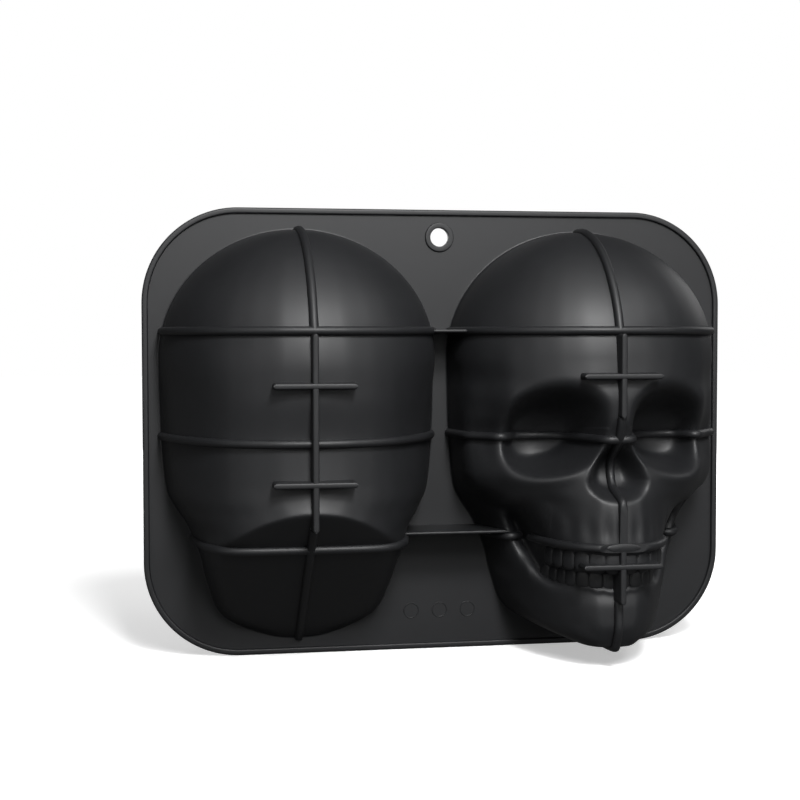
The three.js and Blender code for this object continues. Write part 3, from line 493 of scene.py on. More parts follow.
class Sheet:
    def __init__(self, tree):
        self.tree = tree
        tree.nodes.clear()

    def node(self, kind, sockets=None, settings=None, out=0):
        made = self.tree.nodes.new(kind)
        for key, value in (settings or {}).items():
            if key == "stops":
                for stop, (position, colour) in zip(made.color_ramp.elements, value):
                    stop.position = position
                    stop.color = colour
            else:
                setattr(made, key, value)
        for key, value in (sockets or {}).items():
            if isinstance(value, Signal):
                self.tree.links.new(value.socket, made.inputs[key])
            else:
                made.inputs[key].default_value = value
        return Signal(self, made.outputs[out]) if len(made.outputs) else made


def shaderSheet(owner):
    owner.use_nodes = True
    return Sheet(owner.node_tree)


finish = {
    "dark": (0.0055, 0.0058, 0.0066, 1),
    "light": (0.0105, 0.0110, 0.0125, 1),
    "roughness": 0.52,         # in the mean, with both noises
    "grainRough": 0.1,
    "cloudRough": 0.12,
    "toneMix": (0.45, 0.4, 0.15),   # grain, cloud and smear
    "toneFrom": 0.3,
    "toneTo": 0.7,
    "grain": (1500.0, 2.0, 0.6),    # each noise: size, detail and roughness
    "cloud": (18.0, 4.0, 0.55),
    "smear": (162.0, 3.0, 0.5),
    "bumpMix": (0.75, 0.25),        # grain and smear
    "bumpDepth": 0.00005,
    "bumpStrength": 0.35,
}


def makeSilicone():
    material = bpy.data.materials.new("blackSilicone")
    sheet = shaderSheet(material)
    spot = sheet.node("ShaderNodeTexCoord", out="Object")

    def noise(size, detail, roughness):
        return sheet.node("ShaderNodeTexNoise", {
            "Vector": spot, "Scale": size, "Detail": detail, "Roughness": roughness})

    grain, cloud, smear = (noise(*finish[k]) for k in ("grain", "cloud", "smear"))
    mix = finish["toneMix"]
    stops = [(finish["toneFrom"], finish["dark"]), (finish["toneTo"], finish["light"])]
    colour = sheet.node("ShaderNodeValToRGB", {
        0: grain * mix[0] + cloud * mix[1] + smear * mix[2]}, {"stops": stops})
    smooth = finish["roughness"] - (finish["grainRough"] + finish["cloudRough"]) / 2
    rough = grain * finish["grainRough"] + cloud * finish["cloudRough"] + smooth
    mix = finish["bumpMix"]
    relief = sheet.node("ShaderNodeBump", {
        "Height": grain * mix[0] + smear * mix[1], "Distance": finish["bumpDepth"],
        "Strength": finish["bumpStrength"]})
    surface = sheet.node("ShaderNodeBsdfPrincipled", {
        "Base Color": colour, "Roughness": rough, "Normal": relief})
    sheet.node("ShaderNodeOutputMaterial", {"Surface": surface})
    return material


silicone = makeSilicone()
print("silicone ready")


# The shells, on rays that run from one star point in the middle of each half to its outline
def rayAngles():
    half, mouth = shell["rays"] // 2, shell["mouthRays"]
    s = np.arange(half + 1) / half
    turn = math.pi * (s - mouth * np.sin(math.pi * s * 2) / (2 * math.pi) - mouth * 0.5 * s * (1 - s))
    return np.concatenate([turn - math.pi / 2, -math.pi / 2 - turn[-2:0:-1]])


def fromStar(radius, angles):
    return radius * np.cos(angles), outline["starLevel"] + radius * np.sin(angles)


def reachOf(angles):   # halves the span 40 times
    low = np.full(len(angles), shell["nearest"])
    high = np.full(len(angles), shell["farthest"])
    for _ in range(40):
        r = (low + high) / 2
        across, level = fromStar(r, angles)
        inside = (level > chin) & (level < domeTop) & (np.abs(across) < halfWidth(level))
        low = np.where(inside, r, low)
        high = np.where(inside, high, r)
    return low


def ringShares(depthAt, angles, reach, count):
    fine = np.sin(np.arange(rings["samples"] + 1) / rings["samples"] * math.pi / 2)
    x, z = fromStar(reach[:, None] * fine, angles[:, None])
    depth = depthAt(x, z)
    depth[:, -1] = 0
    run = np.sqrt(np.diff(x) ** 2 + np.diff(z) ** 2 + np.diff(depth) ** 2)
    deep = np.clip((depth[:, 1:] + depth[:, :-1]) / 2 / rings["fullDepth"], 0, 1)
    mouth = rings["mouth"] * bump(z[:, 1:] - rings["mouthLevel"], rings["mouthTall"])
    weight = (rings["shallow"] + (1 - rings["shallow"]) * deep) * (1 + mouth * deep)
    length = np.concatenate([np.zeros((len(angles), 1)), np.cumsum(run * weight, axis=1)], axis=1)
    steps = np.arange(1, count + 1)
    shares = np.array([np.interp(line[-1] * steps / count, line, fine) for line in length])
    smooth = blur(np.concatenate([shares] * 3), len(angles) / rings["smooth"], 0)
    return smooth[len(angles):2 * len(angles)]


grid = {"step": 0.8, "half": 84, "low": 6, "high": 254, "soften": 1.0}


def innerSurface(half, wall):   # the outside moved in by a ball as thick as the wall
    step = grid["step"]
    xs = np.arange(-grid["half"], grid["half"] + step / 2, step)
    zs = np.arange(grid["low"], grid["high"] + step / 2, step)
    outer = half.depth(*np.meshgrid(xs, zs, indexing="ij"))
    thin = outer - wall
    span = int(wall / step) + 1
    for i in range(-span, span + 1):
        for j in range(-span, span + 1):
            away = math.hypot(i, j) * step
            if 0 < away <= wall:
                moved = np.roll(np.roll(outer, i, axis=0), j, axis=1)
                thin = np.minimum(thin, moved - math.sqrt(wall * wall - away * away))
    thin = blur(blur(thin, grid["soften"], 0), grid["soften"], 1).T

    def depthAt(x, z):
        column = np.clip((x - xs[0]) / step, 0, len(xs) - 1.001)
        row = np.clip((z - zs[0]) / step, 0, len(zs) - 1.001)
        return readGrid(thin, row, column)
    return depthAt


def shellOutline(half):   # of the deck's cut-out
    angles = rayAngles()
    across, level = fromStar(reachOf(angles) - shell["seam"], angles)
    return np.stack([half.middle + across, level], 1)


def makeShell(name, half, node):
    wall, fillet, lip, seam, tuck = (shell[k] for k in ("wall", "footFillet", "lipFillet", "seam", "tuck"))
    back = -deckThickness
    angles = rayAngles()
    reach = reachOf(angles)
    inside = innerSurface(half, wall)
    innerAngles = angles[::2]
    innerReach = reach[::2] - wall

    def ring(radius, depth):
        x, z = fromStar(radius, angles)
        return place(half.middle + x, depth, z)

    shares = ringShares(half.depth, angles, reach, shell["rings"]).T
    outer = []
    for share in shares[:-1]:
        x, z = fromStar(reach * share, angles)
        outer.append(place(half.middle + x, np.maximum(half.depth(x, z), fillet), z))
    outer.append(ring(reach * shares[-1], fillet))
    for turn in np.radians([30, 60, 90]):
        outer.append(ring(reach + fillet * (1 - math.cos(turn)), fillet * (1 - math.sin(turn))))
    outer += [ring(reach + fillet, -tuck), ring(reach - seam, -tuck), ring(reach - seam, back)]
    for turn in np.radians([0, 22, 45, 68, 90]):
        outer.append(ring(reach - wall + lip * (1 - math.sin(turn)), back + lip * (1 - math.cos(turn))))
    innerShares = ringShares(lambda x, z: np.maximum(0, inside(x, z)), innerAngles, innerReach,
                             shell["innerRings"]).T
    inner = []
    for share in innerShares[-2::-1]:
        x, z = fromStar(innerReach * share, innerAngles)
        inner.append(place(half.middle + x, np.maximum(inside(x, z), back + lip), z))
    star = outline["starLevel"]
    tips = [place(half.middle, depth, star)[None]
            for depth in (half.depth(0, star), inside(np.array(0.0), np.array(star)))]
    points = np.concatenate(tips[:1] + outer + inner + tips[1:])
    count = len(angles)
    few = count // 2
    faces = [(0, 1 + i, 1 + (i + 1) % count) for i in range(count)]
    for j in range(len(outer) - 1):
        faces += bandFaces(1 + j * count, 1 + (j + 1) * count, count)
    last = 1 + (len(outer) - 1) * count
    first = last + count
    for i in range(few):   # the inside has half as many points round
        k = first + (i + 1) % few
        p, q, s = last + 2 * i, last + 2 * i + 1, last + (2 * i + 2) % count
        faces += [(p, first + i, q), (q, first + i, k), (q, k, s)]
    for j in range(len(inner) - 1):
        faces += bandFaces(first + j * few, first + (j + 1) * few, few)
    end = first + (len(inner) - 1) * few
    faces += [(end + i, len(points) - 1, end + (i + 1) % few) for i in range(few)]
    return makePiece(name, points, faces, node, smoothAngle=60)


makeShell("skullBackShell", backHalf, "skull_back_shell")
makeShell("skullFaceShell", faceHalf, "skull_face_shell")
print("shells made")

# Beads: round strings moulded on the surface, swept along a path
bead = {
    "radius": 2.4,
    "lift": 1.5,           # how far the string's middle stands off the surface
    "liftFade": 12,        # the depth at which it stands that far
    "sides": 24,
    "step": 1.2,
    "trim": 0.25,
    "root": -1.5,          # depth of an end, inside the deck
    "samples": 601, "middleSamples": 501, "soften": 4,
    "crown": 190.3, "middle": 129.8, "lower": 70.6,
    "napeTop": 84.0, "browTop": 142.5, "chinTop": 40.0,
    "jawHollow": 38.4, "jawBranch": 41.8,
}


# A Geometry Nodes tree with named sizes, which ends in Realize Instances and Set Material
class ShapeTree(Sheet):
    def __init__(self, name, sizes):
        super().__init__(bpy.data.node_groups.new(name, "GeometryNodeTree"))
        self.sizes = dict(sizes, Material=silicone)
        self.addSocket("Geometry", "Geometry", "OUTPUT")
        self.addSocket("Geometry", "Geometry")
        kinds = {int: "Int", float: "Float"}
        self.keys = {label: self.addSocket(label, kinds.get(type(value), "Material"))
                     for label, value in self.sizes.items()}
        inputs = self.tree.nodes.new("NodeGroupInput").outputs
        self.given = {s.name: Signal(self, s) for s in inputs if s.name}

    def addSocket(self, name, kind, way="INPUT"):
        made = self.tree.interface.new_socket(name=name, in_out=way, socket_type="NodeSocket" + kind)
        return made.identifier

    def close(self, shape):
        real = self.node("GeometryNodeRealizeInstances", {"Geometry": shape})
        coat = self.node("GeometryNodeSetMaterial", {
            "Geometry": real, "Material": self.given["Material"]})
        self.node("NodeGroupOutput", {"Geometry": coat})
        return self


def plainMesh(name, base, shape=None):   # of a curve, or of a tree that is run on a curve or on points
    holder = addObject(name + "Holder", base)
    if shape:
        modifier = holder.modifiers.new("shape", "NODES")
        modifier.node_group = shape.tree
        for label, value in shape.sizes.items():
            modifier[shape.keys[label]] = value
    bpy.context.view_layer.update()
    graph = bpy.context.evaluated_depsgraph_get()
    mesh = bpy.data.meshes.new_from_object(holder.evaluated_get(graph))
    holder.modifiers.clear()
    bpy.data.objects.remove(holder)
    return mesh


def addLine(curve, points, closed=False):
    line = curve.splines.new("POLY")
    line.points.add(len(points) - 1)
    line.points.foreach_set("co", np.pad(points, ((0, 0), (0, 1)), constant_values=1).ravel())
    line.use_cyclic_u = closed


def beadAlongPath():
    shape = ShapeTree("beadAlongPath", {
        "Bead Radius": bead["radius"] * mm, "Sides": bead["sides"], "Step": bead["step"] * mm})
    given = shape.given
    even = shape.node("GeometryNodeResampleCurve", {
        "Curve": given["Geometry"], "Length": given["Step"]}, {"mode": "LENGTH"})
    ring = shape.node("GeometryNodeCurvePrimitiveCircle", {
        "Resolution": given["Sides"], "Radius": given["Bead Radius"]})
    return shape.close(shape.node("GeometryNodeCurveToMesh", {
        "Curve": even, "Profile Curve": ring, "Fill Caps": True}))


def trimAtFeet(build):
    plane = (deckFace - footReach + bead["trim"]) * mm
    parts = build.verts[:] + build.edges[:] + build.faces[:]
    cut = bmesh.ops.bisect_plane(build, geom=parts, dist=1e-7, plane_co=(0, plane, 0),
                                 plane_no=(0, -1, 0), clear_outer=True)
    edges = [e for e in cut["geom_cut"] if isinstance(e, bmesh.types.BMEdge) and e.is_boundary]
    if edges:
        bmesh.ops.holes_fill(build, edges=edges, sides=0)


def makeBead(name, node, path):
    curve = bpy.data.curves.new(name + "Path", "CURVE")
    curve.dimensions = "3D"
    addLine(curve, path)
    mesh = plainMesh(name, curve, beadShape)
    mend(mesh, trimAtFeet)
    return finishPiece(name, mesh, node, smoothAngle=50)


def lifted(depth):
    return depth + bead["lift"] * np.clip(depth / bead["liftFade"], 0, 1)


def rooted(along, depth, low, high):   # a path that starts or ends at the deck goes on into it
    if low is not None:
        along = np.concatenate([[low], along])
        depth = np.concatenate([[bead["root"]], depth])
    if high is not None:
        along = np.concatenate([along, [high]])
        depth = np.concatenate([depth, [bead["root"]]])
    return along, depth


def acrossPath(half, level, start=-math.inf, end=math.inf):
    reach = float(halfWidth(level))
    x = reach * np.sin(np.linspace(-1, 1, bead["samples"]) * math.pi / 2)
    depth = half.depth(x, level)
    depth[0] = depth[-1] = 0
    keep = (x >= start) & (x <= end)
    depth = lifted(blur(depth[keep], bead["soften"], 0))
    x, depth = rooted(x[keep], depth, -reach if start <= -reach else None,
                      reach if end >= reach else None)
    return place(half.middle + x, depth, level)


def middlePath(half, low, high):
    z = low + (high - low) * (1 - np.cos(np.linspace(0, 1, bead["middleSamples"]) * math.pi)) / 2
    z, depth = rooted(z, lifted(half.depth(0, z)), low if low <= chin else None,
                      high if high >= domeTop else None)
    return place(half.middle, depth, z)


beadShape = beadAlongPath()
beadPaths = [
    ("backCrownBead", "back_crown_bead", acrossPath(backHalf, bead["crown"])),
    ("backMiddleBead", "back_middle_bead", acrossPath(backHalf, bead["middle"])),
    ("backLowerBead", "back_lower_bead", acrossPath(backHalf, bead["lower"])),
    ("backTopBead", "back_top_bead", middlePath(backHalf, bead["crown"], domeTop)),
    ("backNapeBead", "back_nape_bead", middlePath(backHalf, bead["lower"], bead["napeTop"])),
    ("backNeckBead", "back_neck_bead", middlePath(backHalf, chin, bead["lower"])),
    ("faceCrownBead", "face_crown_bead", acrossPath(faceHalf, bead["crown"])),
    ("faceEyeBead", "face_eye_bead", acrossPath(faceHalf, bead["middle"])),
    ("faceLipBead", "face_lip_bead",
     acrossPath(faceHalf, bead["lower"], -bead["jawHollow"], bead["jawHollow"])),
    ("faceLeftJawBead", "face_left_jaw_bead", acrossPath(faceHalf, bead["lower"], end=-bead["jawBranch"])),
    ("faceRightJawBead", "face_right_jaw_bead", acrossPath(faceHalf, bead["lower"], bead["jawBranch"])),
    ("faceTopBead", "face_top_bead", middlePath(faceHalf, bead["crown"], domeTop)),
    ("faceBrowBead", "face_brow_bead", middlePath(faceHalf, bead["middle"], bead["browTop"])),
    ("faceNoseBead", "face_nose_bead", middlePath(faceHalf, bead["lower"], bead["middle"])),
    ("faceChinBead", "face_chin_bead", middlePath(faceHalf, chin, bead["chinTop"])),
]
for beadPath in beadPaths:
    makeBead(*beadPath)
print("beads made")

# Teeth: one rounded block, set along the arch of each jaw
teeth = {
    "upper": {"level": 62.2, "tall": 15.4, "gap": 8.7, "thick": 4.5, "out": 2.8, "perSide": 6},
    "lower": {"level": 50.8, "tall": 13.2, "gap": 7.6, "thick": 4.2, "out": 2.0, "perSide": 7},
    "fill": 1.3,
    "crease": 0.2,
    "rounding": 3,
    "archHalf": 40,
    "samples": 801,
    "feel": 2,             # how far to each side the arch is felt for a tooth's turn
    "shrink": 0.035,       # each tooth is that much lower than the one before
    "smile": 0.02,
}


def toothOnPoints():
    shape = ShapeTree("toothOnPoints", {"Edge": teeth["crease"], "Rounding": teeth["rounding"]})
    block = shape.node("GeometryNodeMeshCube", {"Size": (1, 1, 1)})
    tooth = shape.node("GeometryNodeSubdivisionSurface", {
        "Mesh": block, "Edge Crease": shape.given["Edge"], "Level": shape.given["Rounding"]})
    turn, size = (shape.node("GeometryNodeInputNamedAttribute", {"Name": label},
                             {"data_type": "FLOAT_VECTOR"}) for label in ("turn", "size"))
    return shape.close(shape.node("GeometryNodeInstanceOnPoints", {
        "Points": shape.given["Geometry"], "Instance": tooth, "Rotation": turn, "Scale": size}))


def makeTeeth(name, row):
    level, gap = row["level"], row["gap"]
    x = np.linspace(0, teeth["archHalf"], teeth["samples"])
    depth = faceHalf.depth(x, level)
    length = np.concatenate([[0], np.cumsum(np.hypot(np.diff(x), np.diff(depth)))])
    sink = row["thick"] / 2 - row["out"]
    spots, turns, sizes = [], [], []
    for side in (-1, 1):
        for k in range(row["perSide"]):
            at = gap * (k + 0.5)
            across, near, far = (float(np.interp(at + step, length, x))
                                 for step in (0, -teeth["feel"], teeth["feel"]))
            run = np.array([far - near, float(faceHalf.depth(far, level) - faceHalf.depth(near, level))])
            run /= np.linalg.norm(run)
            spotDepth = float(faceHalf.depth(across, level)) - run[0] * sink
            spots.append(tuple(place(faceHalf.middle + side * (across + run[1] * sink), spotDepth,
                                     level + teeth["smile"] * across)))
            turns.append((0, 0, side * math.atan2(-run[1], run[0])))
            tall = row["tall"] * (1 - teeth["shrink"] * k)
            sizes.append((gap * teeth["fill"] * mm, row["thick"] * mm, tall * mm))
    cloud = bpy.data.meshes.new(name + "Points")
    cloud.from_pydata(spots, [], [])
    for label, vectors in (("turn", turns), ("size", sizes)):
        layer = cloud.attributes.new(label, "FLOAT_VECTOR", "POINT")
        layer.data.foreach_set("vector", np.array(vectors, float).ravel())
    return finishPiece(name, plainMesh(name, cloud, toothShape), None)


toothShape = toothOnPoints()
makeTeeth("upperTeeth", teeth["upper"])
makeTeeth("lowerTeeth", teeth["lower"])
print("teeth made")

# Foot strips and their crossbars, flat on the foot plane
foot = {
    "finWidth": 3.4,
    "finDrop": 0.12,
    "barHeight": 3.2,
    "barLength": 45.0,
    "edge": 0.9,
    "edgeShare": 0.8,      # of the half width, the most that the edge takes
    "flare": 0.5,
    "sink": 1.4,           # how far a strip's root stands in the skull
    "step": 0.8,
    "endSteps": 7,
    "tip": 0.02,           # the first and last stations lie this far in
    "back": {"low": 83.0, "high": 188.6, "bars": (160.9, 108.3)},
    "forehead": {"low": 142.0, "high": 188.6, "bars": (165.1,)},
    "mouth": {"low": 39.1, "high": 70.0, "bars": (60.0,)},
}
pad = {"half": 9.8, "tall": 2.4, "thick": 6.0, "edge": 0.5, "round": 0.3, "level": 70.8, "steps": 72}
roundTurns = np.radians([0, 30, 60, 90])


def strip(half, start, end, width, reach=footReach):
    start = np.array(start, float)
    end = np.array(end, float)
    length = np.linalg.norm(end - start)
    along = (end - start) / length
    side = np.array([-along[1], along[0]])
    r = width / 2
    arc = r * (1 - np.cos(np.linspace(0, 1, foot["endSteps"]) * math.pi / 2))
    middle = np.linspace(r, length - r, max(3, int(length / foot["step"])))
    stations = np.concatenate([arc[:-1], middle, (length - arc[::-1])[1:]])
    stations[0] = foot["tip"]
    stations[-1] = length - foot["tip"]
    rows = []
    for s in stations:
        near = min(s, length - s)
        h = r if near >= r else math.sqrt(max(1e-4, r * r - (r - near) ** 2))
        e = min(foot["edge"], foot["edgeShare"] * h)
        across = np.concatenate([[-h - foot["flare"] * h / r], -h + e * (1 - np.cos(roundTurns))])
        height = np.concatenate([[np.nan], reach - e + e * np.sin(roundTurns)])
        across = np.concatenate([across, -across[::-1]])
        height = np.concatenate([height, height[::-1]])
        x, z = (start + along * s)[:, None] + side[:, None] * across
        base = half.depth(x, z) - foot["sink"]
        height = np.where(np.isnan(height), base, np.maximum(height, base))
        rows.append(place(half.middle + x, height, z))
    return rows


def makeFoot(name, half, size, node):
    reach = foot["barLength"] / 2
    strips = [strip(half, (0, size["low"]), (0, size["high"]), foot["finWidth"],
                    footReach - foot["finDrop"])]
    strips += [strip(half, (-reach, level), (reach, level), foot["barHeight"]) for level in size["bars"]]
    points = []
    faces = []
    for rows in strips:
        faces += tubeFaces(len(rows[0]), len(rows), sum(len(p) for p in points))
        points += rows
    return makePiece(name, np.concatenate(points), faces, node, smoothAngle=40)


def makePad(name):
    edge = pad["edge"]
    soft = edge * pad["round"]
    turn = circle(pad["steps"])
    rows = []
    for shrink, depth in ((0, footReach - pad["thick"]), (0, footReach - edge),
                          (soft, footReach - soft), (edge, footReach)):
        rows.append(place(faceMiddle + (pad["half"] - shrink) * np.cos(turn), depth,
                          pad["level"] + (pad["tall"] - shrink) * np.sin(turn)))
    return makePiece(name, np.concatenate(rows), tubeFaces(pad["steps"], len(rows)), None, smoothAngle=40)


makePad("lipPad")
makeFoot("backFoot", backHalf, foot["back"], "back_foot")
makeFoot("faceForeheadFoot", faceHalf, foot["forehead"], "face_forehead_foot")
makeFoot("faceMouthFoot", faceHalf, foot["mouth"], "face_mouth_foot")
print("feet made")

# Webs that tie the two cavities together
web = {
    "thickness": 1.8,
    "reach": 32.0,
    "upper": 190.3,
    "lower": 73.4,
    "edge": 0.7,
    "sink": 1.2,           # how far an end stands in the skull's side
    "root": -0.5,          # depth of its edge in the deck
    "jawRidge": 50.5,      # the lower web ends on the jaw branch, this far from the face's middle
    "steps": 12,
    "samples": 400,
}


def sideAt(half, level, depth):
    x = np.linspace(0, float(halfWidth(level)), web["samples"])
    inside = half.depth(x, level) >= depth
    return x[inside].max() if inside.any() else 0.0


def makeWeb(name, level, node, faceEnd=0):
    t = web["thickness"] / 2
    e = web["edge"]
    turn = roundTurns[1:]
    depths = np.concatenate([np.linspace(web["root"], web["reach"] - e, web["steps"]),
                             web["reach"] - e + e * np.sin(turn)])
    halves = np.concatenate([np.full(web["steps"], t), t - e + e * np.cos(turn)])
    profile = list(zip(depths, halves))
    profile += [(d, -h) for d, h in profile[::-1]]
    left = [place(backHalf.middle + sideAt(backHalf, level, d) - web["sink"], d, level + h)
            for d, h in profile]
    right = [place(faceHalf.middle - max(sideAt(faceHalf, level, d) - web["sink"], faceEnd), d,
                   level + h) for d, h in profile]
    return makePiece(name, left + right, tubeFaces(len(profile), 2), node, smoothAngle=40)


makeWeb("upperWeb", web["upper"], "upper_web")
makeWeb("lowerWeb", web["lower"], "lower_web", web["jawRidge"])
print("webs made")

# Deck, rim and eyelet
deck = {"underRim": 0.6, "underBoss": 0.9}   # shares of the rim's width and the boss that cover the deck
rim = {
    "width": 4.2,
    "rise": 1.8,
    "corner": 56.0,
    "backRound": 0.8, "outerRound": 1.3, "innerRound": 0.8,
    "slope": 0.4,
    "foot": 0.5,           # how far the lip's inner foot stands back
    "footRound": 0.1,
    "groove": 0.35,
    "arcSteps": 40,
}
eyelet = {
    "hole": 11.0,
    "boss": eyeletHigh[0] - eyeletLow[0],
    "rise": 1.2,
    "edge": 0.55,
    "slope": 0.2, "groove": 0.2, "footRound": 0.05,
    "level": (eyeletLow[2] + eyeletHigh[2]) / 2,
    "steps": 96,
}


def panelOutline(inset):
    w = (rimHigh[0] - rimLow[0]) / 2 - inset
    low = rimLow[2] + inset
    high = rimHigh[2] - inset
    r = rim["corner"] - inset
    points = []
    for x, z, start in ((w - r, low + r, -90), (w - r, high - r, 0),
                        (-w + r, high - r, 90), (-w + r, low + r, 180)):
        turn = np.radians(start + np.linspace(0, 90, rim["arcSteps"] + 1))
        points += list(zip(x + r * np.cos(turn), z + r * np.sin(turn)))
    return np.array(points)


def eyeletRing(radius):
    turn = circle(eyelet["steps"])
    return np.stack([radius * np.cos(turn), eyelet["level"] + radius * np.sin(turn)], 1)


def mergeDoubles(build):
    bmesh.ops.remove_doubles(build, verts=build.verts, dist=1e-6)


def standUp(across, depth, level):   # from the flat, where y is up, to a place on the deck
    move = Matrix.Translation((across * mm, (deckFace - depth) * mm, level * mm))
    return move @ Matrix.Rotation(math.pi / 2, 4, "X")


def makeDeck(name, node):
    flat = bpy.data.curves.new(name, "CURVE")
    flat.dimensions = "2D"
    flat.fill_mode = "BOTH"
    flat.extrude = deckThickness / 2 * mm
    lines = [panelOutline(rim["width"] * deck["underRim"]),
             eyeletRing(eyelet["boss"] / 2 * deck["underBoss"]),
             shellOutline(backHalf), shellOutline(faceHalf)]
    for points in lines:
        addLine(flat, np.pad(points * mm, ((0, 0), (0, 1))), True)
    mesh = plainMesh(name, flat)
    mesh.transform(standUp(0, -deckThickness / 2, 0))
    mend(mesh, mergeDoubles)
    return finishPiece(name, mesh, node, smoothAngle=30)


def roundedProfile(corners, steps=5):   # each corner: place, depth and how far from it the round begins
    spots = [np.array(c[:2], float) for c in corners]
    points = []
    for k, here in enumerate(spots):
        a, b = (spots[n] - here for n in (k - 1, (k + 1) % len(spots)))
        a, b = a / np.linalg.norm(a), b / np.linalg.norm(b)
        r = corners[k][2]
        shares = np.linspace(0, 1, steps + 1) if r > 0 else [0]
        points += [here + a * r * (1 - s) ** 2 + b * r * s ** 2 for s in shares]
    return points


def sweepRound(name, node, loopAt, corners):   # loopAt gives the closed line at a profile point's place
    profile = roundedProfile(corners)
    loops = [loopAt(at) for at, _ in profile]
    size = len(loops[0])
    points = [place(loop[:, 0], depth, loop[:, 1]) for loop, (_, depth) in zip(loops, profile)]
    faces = []
    for k in range(len(loops)):
        faces += bandFaces(k * size, (k + 1) % len(loops) * size, size)
    return makePiece(name, np.concatenate(points), faces, node, smoothAngle=50)


def makeRim(name, node):
    inner = rim["width"] - rim["foot"]
    return sweepRound(name, node, panelOutline, [
        (0, -deckThickness, rim["backRound"]), (0, rim["rise"], rim["outerRound"]),
        (inner - rim["slope"], rim["rise"], rim["innerRound"]), (inner, -rim["groove"], rim["footRound"]),
        (inner, -deckThickness, 0)])


def makeEyelet(name, node):
    outer = eyelet["boss"] / 2
    inner = eyelet["hole"] / 2
    e = eyelet["edge"]
    return sweepRound(name, node, eyeletRing, [
        (inner, -deckThickness, e), (inner, eyelet["rise"], e),
        (outer - eyelet["slope"], eyelet["rise"], e), (outer, -eyelet["groove"], eyelet["footRound"]),
        (outer, -deckThickness, 0)])


makeDeck("deckPlate", "deck_plate")
makeRim("rimFrame", "rim_frame")
makeEyelet("hangingEyelet", "hanging_eyelet")
print("deck, rim and eyelet made")

# Plain raised rings on the deck between the cavities
marks = {
    "count": 3, "gap": 17.2, "level": 23.0, "radius": 4.4, "wire": 0.32, "ringSteps": 64, "wireSteps": 10,
}


def plainRings():
    shape = ShapeTree("plainRings", {
        "Count": marks["count"], "Gap": marks["gap"] * mm, "Ring Radius": marks["radius"] * mm,
        "Wire": marks["wire"] * mm})
    given = shape.given
    gap = shape.node("ShaderNodeCombineXYZ", {"X": given["Gap"]})
    row = shape.node("GeometryNodeMeshLine", {"Count": given["Count"], "Offset": gap})
    ring, wire = (shape.node("GeometryNodeCurvePrimitiveCircle", {"Resolution": steps, "Radius": size})
                  for steps, size in ((marks["ringSteps"], given["Ring Radius"]),
                                      (marks["wireSteps"], given["Wire"])))
    sweep = shape.node("GeometryNodeCurveToMesh", {"Curve": ring, "Profile Curve": wire})
    return shape.close(shape.node("GeometryNodeInstanceOnPoints", {
        "Points": row, "Instance": sweep}))


def makeMarks(name):
    mesh = plainMesh(name, bpy.data.meshes.new(name + "Base"), plainRings())
    mesh.transform(standUp(-marks["gap"] * (marks["count"] - 1) / 2, 0, marks["level"]))
    return finishPiece(name, mesh, None)


makeMarks("deckRings")
print("marks made")

# Floor and light
floorTone = {
    "albedo": 0.9,
    "unseen": 0.02,        # albedo for light that bounces on, so hardly any comes back to the mould
    "glowNear": 0.42,      # what the camera sees round the mould beside the lamps' light and shadow
    "glowFar": 1.05,
    "near": 0.3,
    "far": 0.95,
    "shine": 0.08,         # what the mould's gloss sees
    "half": 6,
}


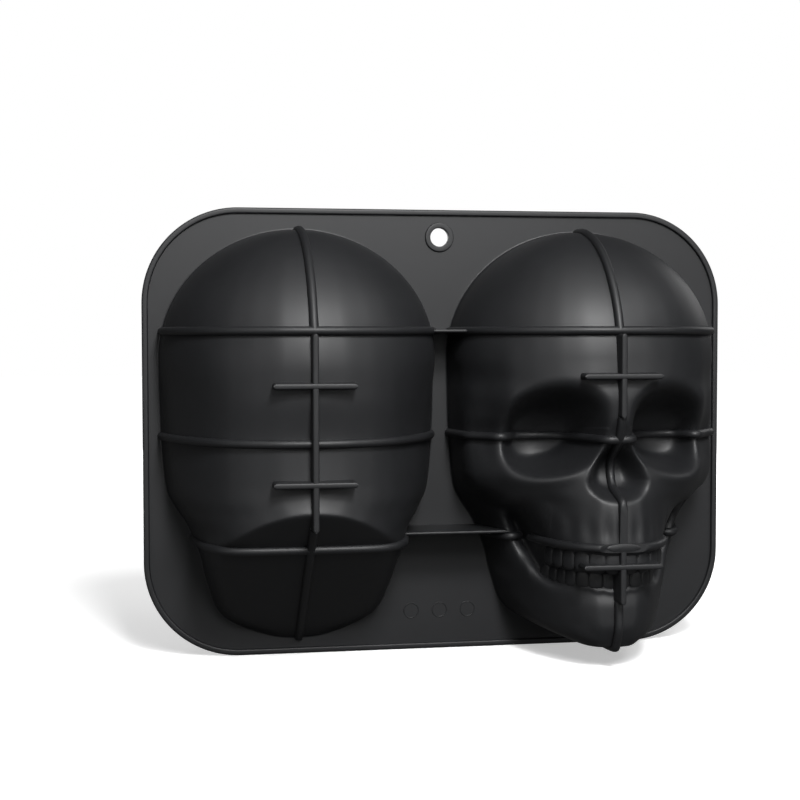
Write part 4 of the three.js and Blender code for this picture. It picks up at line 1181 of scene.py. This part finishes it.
def makeFloor():
    material = bpy.data.materials.new("paleFloor")
    sheet = shaderSheet(material)
    seen = sheet.node("ShaderNodeLightPath", out="Is Camera Ray")
    mirrored = sheet.node("ShaderNodeLightPath", out="Is Glossy Ray")
    spot = sheet.node("ShaderNodeTexCoord", out="Object")
    away = sheet.node("ShaderNodeVectorMath", {0: spot}, {"operation": "LENGTH"}, out="Value")
    glow = sheet.node("ShaderNodeMapRange", {
        "Value": away, "From Min": floorTone["near"], "From Max": floorTone["far"],
        "To Min": floorTone["glowNear"], "To Max": floorTone["glowFar"]},
        {"interpolation_type": "SMOOTHSTEP"})
    tones = [(floorTone[k],) * 3 + (1,) for k in ("unseen", "albedo")]
    shade = sheet.node("ShaderNodeMix", {   # sockets 6 and 7 take the two colours
        0: seen, 6: tones[0], 7: tones[1]}, {"data_type": "RGBA"}, out=2)
    matte = sheet.node("ShaderNodeBsdfDiffuse", {"Color": shade})
    strength = seen * glow + mirrored * floorTone["shine"]
    light = sheet.node("ShaderNodeEmission", {"Strength": strength})
    both = sheet.node("ShaderNodeAddShader", {0: matte, 1: light})
    sheet.node("ShaderNodeOutputMaterial", {"Surface": both})
    r = floorTone["half"]
    mesh = bpy.data.meshes.new("floor")
    mesh.from_pydata([(-r, -r, 0), (r, -r, 0), (r, r, 0), (-r, r, 0)], [], [(0, 1, 2, 3)])
    mesh.materials.append(material)
    floor = addObject("floor", mesh)


def makeWorld(strength):   # white to the camera, dim to the object
    world = bpy.data.worlds.new("studio")
    bpy.context.scene.world = world
    sheet = shaderSheet(world)
    seen = sheet.node("ShaderNodeLightPath", out="Is Camera Ray")
    light = seen * (1 - strength) + strength
    background = sheet.node("ShaderNodeBackground", {"Color": (1, 1, 1, 1), "Strength": light})
    sheet.node("ShaderNodeOutputWorld", {"Surface": background})


# Each lamp stands round the mould: degrees to the right of its front, degrees up, metres away,
# width in metres, power in watts
lamps = {
    "key": (4, 42, 1.25, 0.3, 15.5),
    "lowKey": (2, 28, 1.25, 0.3, 5.2),
    "front": (10, 10, 1.3, 0.5, 1.0),
    "leftFill": (-27, 5, 1.5, 0.6, 1.0),
    "farLeft": (-55, 5, 1.5, 0.6, 1.7),
    "rightFill": (45, 5, 1.5, 0.6, 2.0),
    "leftHigh": (-60, 45, 1.5, 0.4, 1.4),
    "rightHigh": (60, 45, 1.5, 0.4, 3.6),
    "topFill": (0, 80, 1.5, 0.8, 2.0),
    "rightEdge": (128, 20, 1.5, 0.5, 1.4),
    "behindRight": (168, 9, 1.6, 0.7, 6.0),
    "behindLeft": (-170, 9, 1.6, 0.7, 6.0),
}
lampAim = (0, 0, 0.13)
worldStrength = 0.03


def makeLamps():
    for name, (right, up, away, wide, power) in lamps.items():
        turn, lift = math.radians(right), math.radians(up)
        way = Vector((math.sin(turn) * math.cos(lift), -math.cos(turn) * math.cos(lift), math.sin(lift)))
        lamp = bpy.data.lights.new(name, "AREA")
        lamp.shape = "DISK"
        lamp.size = wide
        lamp.energy = power
        holder = addObject(name, lamp)
        holder.location = Vector(lampAim) + way * away
        holder.rotation_euler = (-way).to_track_quat("-Z", "Y").to_euler()


makeFloor()
makeWorld(worldStrength)
makeLamps()
bpy.context.scene.view_settings.view_transform = "Standard"
print("floor and lamps set")
